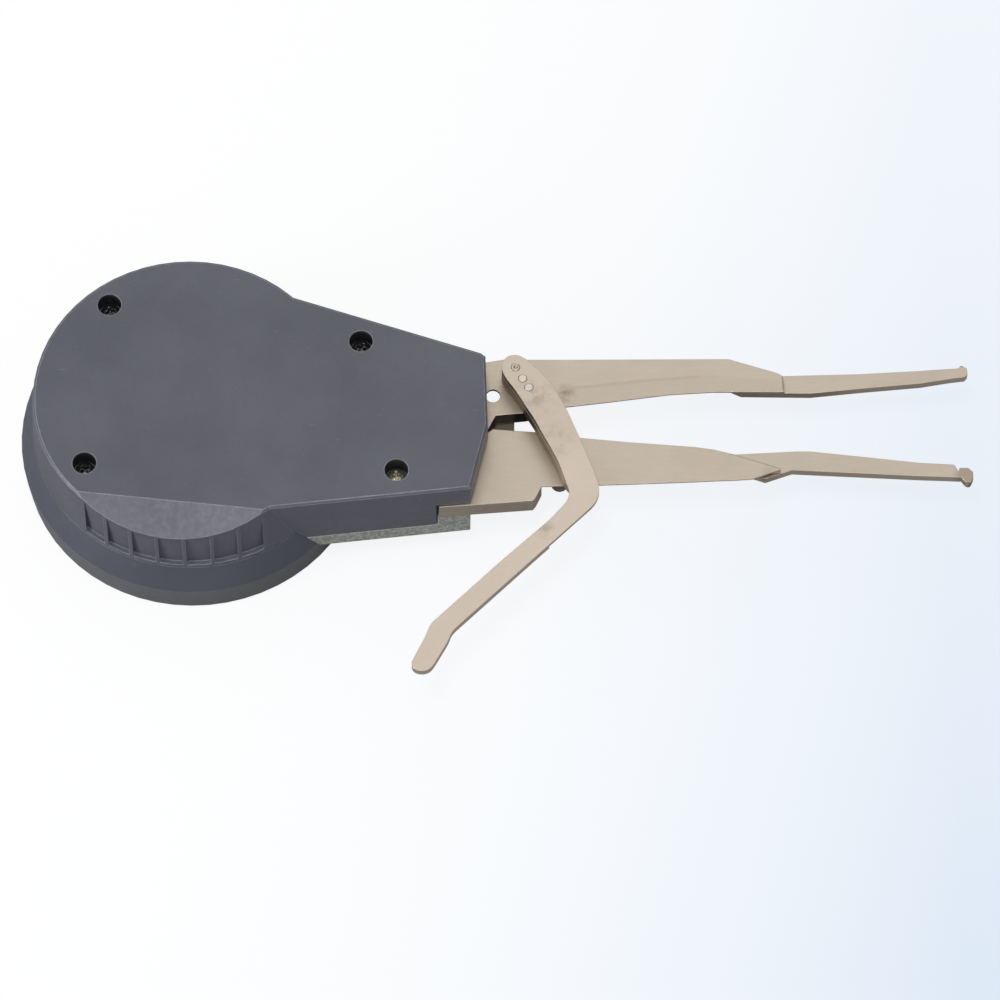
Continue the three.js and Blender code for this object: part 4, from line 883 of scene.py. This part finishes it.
def print_number(number, front):
    """One of the dial's plain numbers, read from the front."""
    angle = 2 * math.pi * number / DIAL_DIVISIONS
    curve = bpy.data.curves.new(f"number_{number}", "FONT")
    curve.body = str(number)
    curve.size = NUMBER_HEIGHT
    curve.align_x = "CENTER"
    curve.align_y = "CENTER"
    curve.extrude = INK / 2
    writer = add_object(f"writer_{number}", curve)
    mesh = settled(writer)
    bpy.data.objects.remove(writer)
    at = Vector((-math.sin(angle), math.cos(angle), 0)) * NUMBER_RADIUS
    at.z = front - INK / 2
    place = Matrix.Translation(at) @ Matrix.Rotation(angle, 4, "Z")
    mesh.transform(place @ Matrix.Rotation(math.pi, 4, "Y"))
    make(f"dial_number_{number}", "bezel", ink_black, mesh)


def place_camera():
    """The photograph's camera. The rows of axes are the CAD's own, as the camera sees them."""
    along = Vector((math.cos(VIEW_ROLL), -math.sin(VIEW_ROLL), 0))
    normal = Vector((
        -math.sin(VIEW_ROLL) * math.cos(VIEW_TILT),
        -math.cos(VIEW_ROLL) * math.cos(VIEW_TILT),
        -math.sin(VIEW_TILT)))
    axes = (along, normal.cross(along), normal)
    right, down, ahead = (Vector([row[k] for row in axes]) for k in range(3))
    place = Matrix((right, -down, -ahead)).transposed().to_4x4()
    sight = Vector((
        AXIS_PIXEL[0] - PHOTO_SIDE / 2, AXIS_PIXEL[1] - PHOTO_SIDE / 2, FOCAL_PIXELS))
    place.translation = (
        -Vector([sight.dot(row) for row in axes]) * METRES_PER_PIXEL
        + Vector((0, 0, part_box("back_cover")[1].z)))
    lens = bpy.data.cameras.new("photo_camera")
    lens.sensor_width = SENSOR_WIDTH
    lens.lens = FOCAL_PIXELS / PHOTO_SIDE * SENSOR_WIDTH
    lens.clip_end = CAMERA_RANGE
    camera = add_object("photo_camera", lens)
    camera.matrix_world = place
    bpy.context.scene.camera = camera


def light_scene():
    """Soft studio light, from the world and three lamps."""
    world = bpy.data.worlds.new("studio")
    world.use_nodes = True
    background = world.node_tree.nodes["Background"]
    background.inputs["Color"].default_value = WORLD_COLOUR
    background.inputs["Strength"].default_value = WORLD_STRENGTH
    bpy.context.scene.world = world
    for name, place, target, size, power in LAMPS:
        lamp = bpy.data.lights.new(name, "AREA")
        lamp.shape = "DISK"
        lamp.size = size
        lamp.energy = power
        holder = add_object(name, lamp)
        holder.location = place
        aim = Vector(target) - Vector(place)
        holder.rotation_euler = aim.to_track_quat("-Z", "Y").to_euler()


def floor_finish():
    """Pale floor: white by the dial, faintly blue beyond the arms, with the object's shadow. Only
    camera rays see it so. Others meet a grey one, which throws less light on the object."""
    finish = Finish("floor")
    place = finish.axes(finish.place)
    along = finish.span(place["X"], *FLOOR_ALONG)
    across = finish.span(place["Y"], *FLOOR_ACROSS, FLOOR_ACROSS_LOSS, 0.0)
    tint = finish.maths("POWER", finish.maths("ADD", along, across), FLOOR_TINT_POWER)
    tint.node.use_clamp = True
    pale = finish.mixed(tint, linear(255, 255, 255), linear(223, 234, 247))
    grain = finish.spread(
        finish.noise(FLOOR_GRAIN, detail=2), to_low=0.0, to_high=FLOOR_GRAIN_SHARE)
    finish.put("Base Color", finish.mixed(grain, pale, linear(200, 205, 212)))
    finish.put("Roughness", 0.9)
    finish.put("Specular IOR Level", 0.1)
    glow = finish.add("ShaderNodeEmission")
    finish.join(pale, glow.inputs["Color"])
    finish.join(FLOOR_GLOW, glow.inputs["Strength"])
    seen = finish.add("ShaderNodeMixShader")
    finish.join(FLOOR_GLOW_SHARE, seen.inputs["Fac"])
    finish.join(finish.shader.outputs["BSDF"], seen.inputs[1])
    finish.join(glow.outputs["Emission"], seen.inputs[2])
    unseen = finish.add("ShaderNodeBsdfDiffuse")
    finish.join(FLOOR_BOUNCE, unseen.inputs["Color"])
    path = finish.add("ShaderNodeLightPath")
    chosen = finish.add("ShaderNodeMixShader")
    finish.join(path.outputs["Is Camera Ray"], chosen.inputs["Fac"])
    finish.join(unseen.outputs["BSDF"], chosen.inputs[1])
    finish.join(seen.outputs["Shader"], chosen.inputs[2])
    finish.join(chosen.outputs["Shader"], finish.output.inputs["Surface"])
    return finish.material


def lay_floor():
    half = FLOOR_HALF
    depth = cad_box[0][2] - FLOOR_GAP
    corners = [(-half, -half), (half, -half), (half, half), (-half, half)]
    form = bmesh.new()
    form.faces.new([form.verts.new((x, y, depth)) for x, y in corners])
    floor = plain_object("floor", form)
    floor.data.materials.append(floor_finish())


for node_name, node_object in nodes.items():
    dress(node_object, finish_of(node_name))
    smooth(node_object, SMOOTH_ANGLES.get(node_name, SMOOTH_ANGLE))
for plate_node, rounding in PLATE_ROUNDINGS.items():
    finer_plate(plate_node, rounding)
for screw_node, screw_turn in CROSS_TURNS.items():
    finer_screw(screw_node, screw_turn)
dial_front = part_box("dial_face")[0].z
print_ticks(dial_front)
for dial_number in range(0, DIAL_DIVISIONS, NUMBER_STEP):
    print_number(dial_number, dial_front)
place_camera()
light_scene()
lay_floor()
bpy.context.scene.view_settings.view_transform = "Standard"
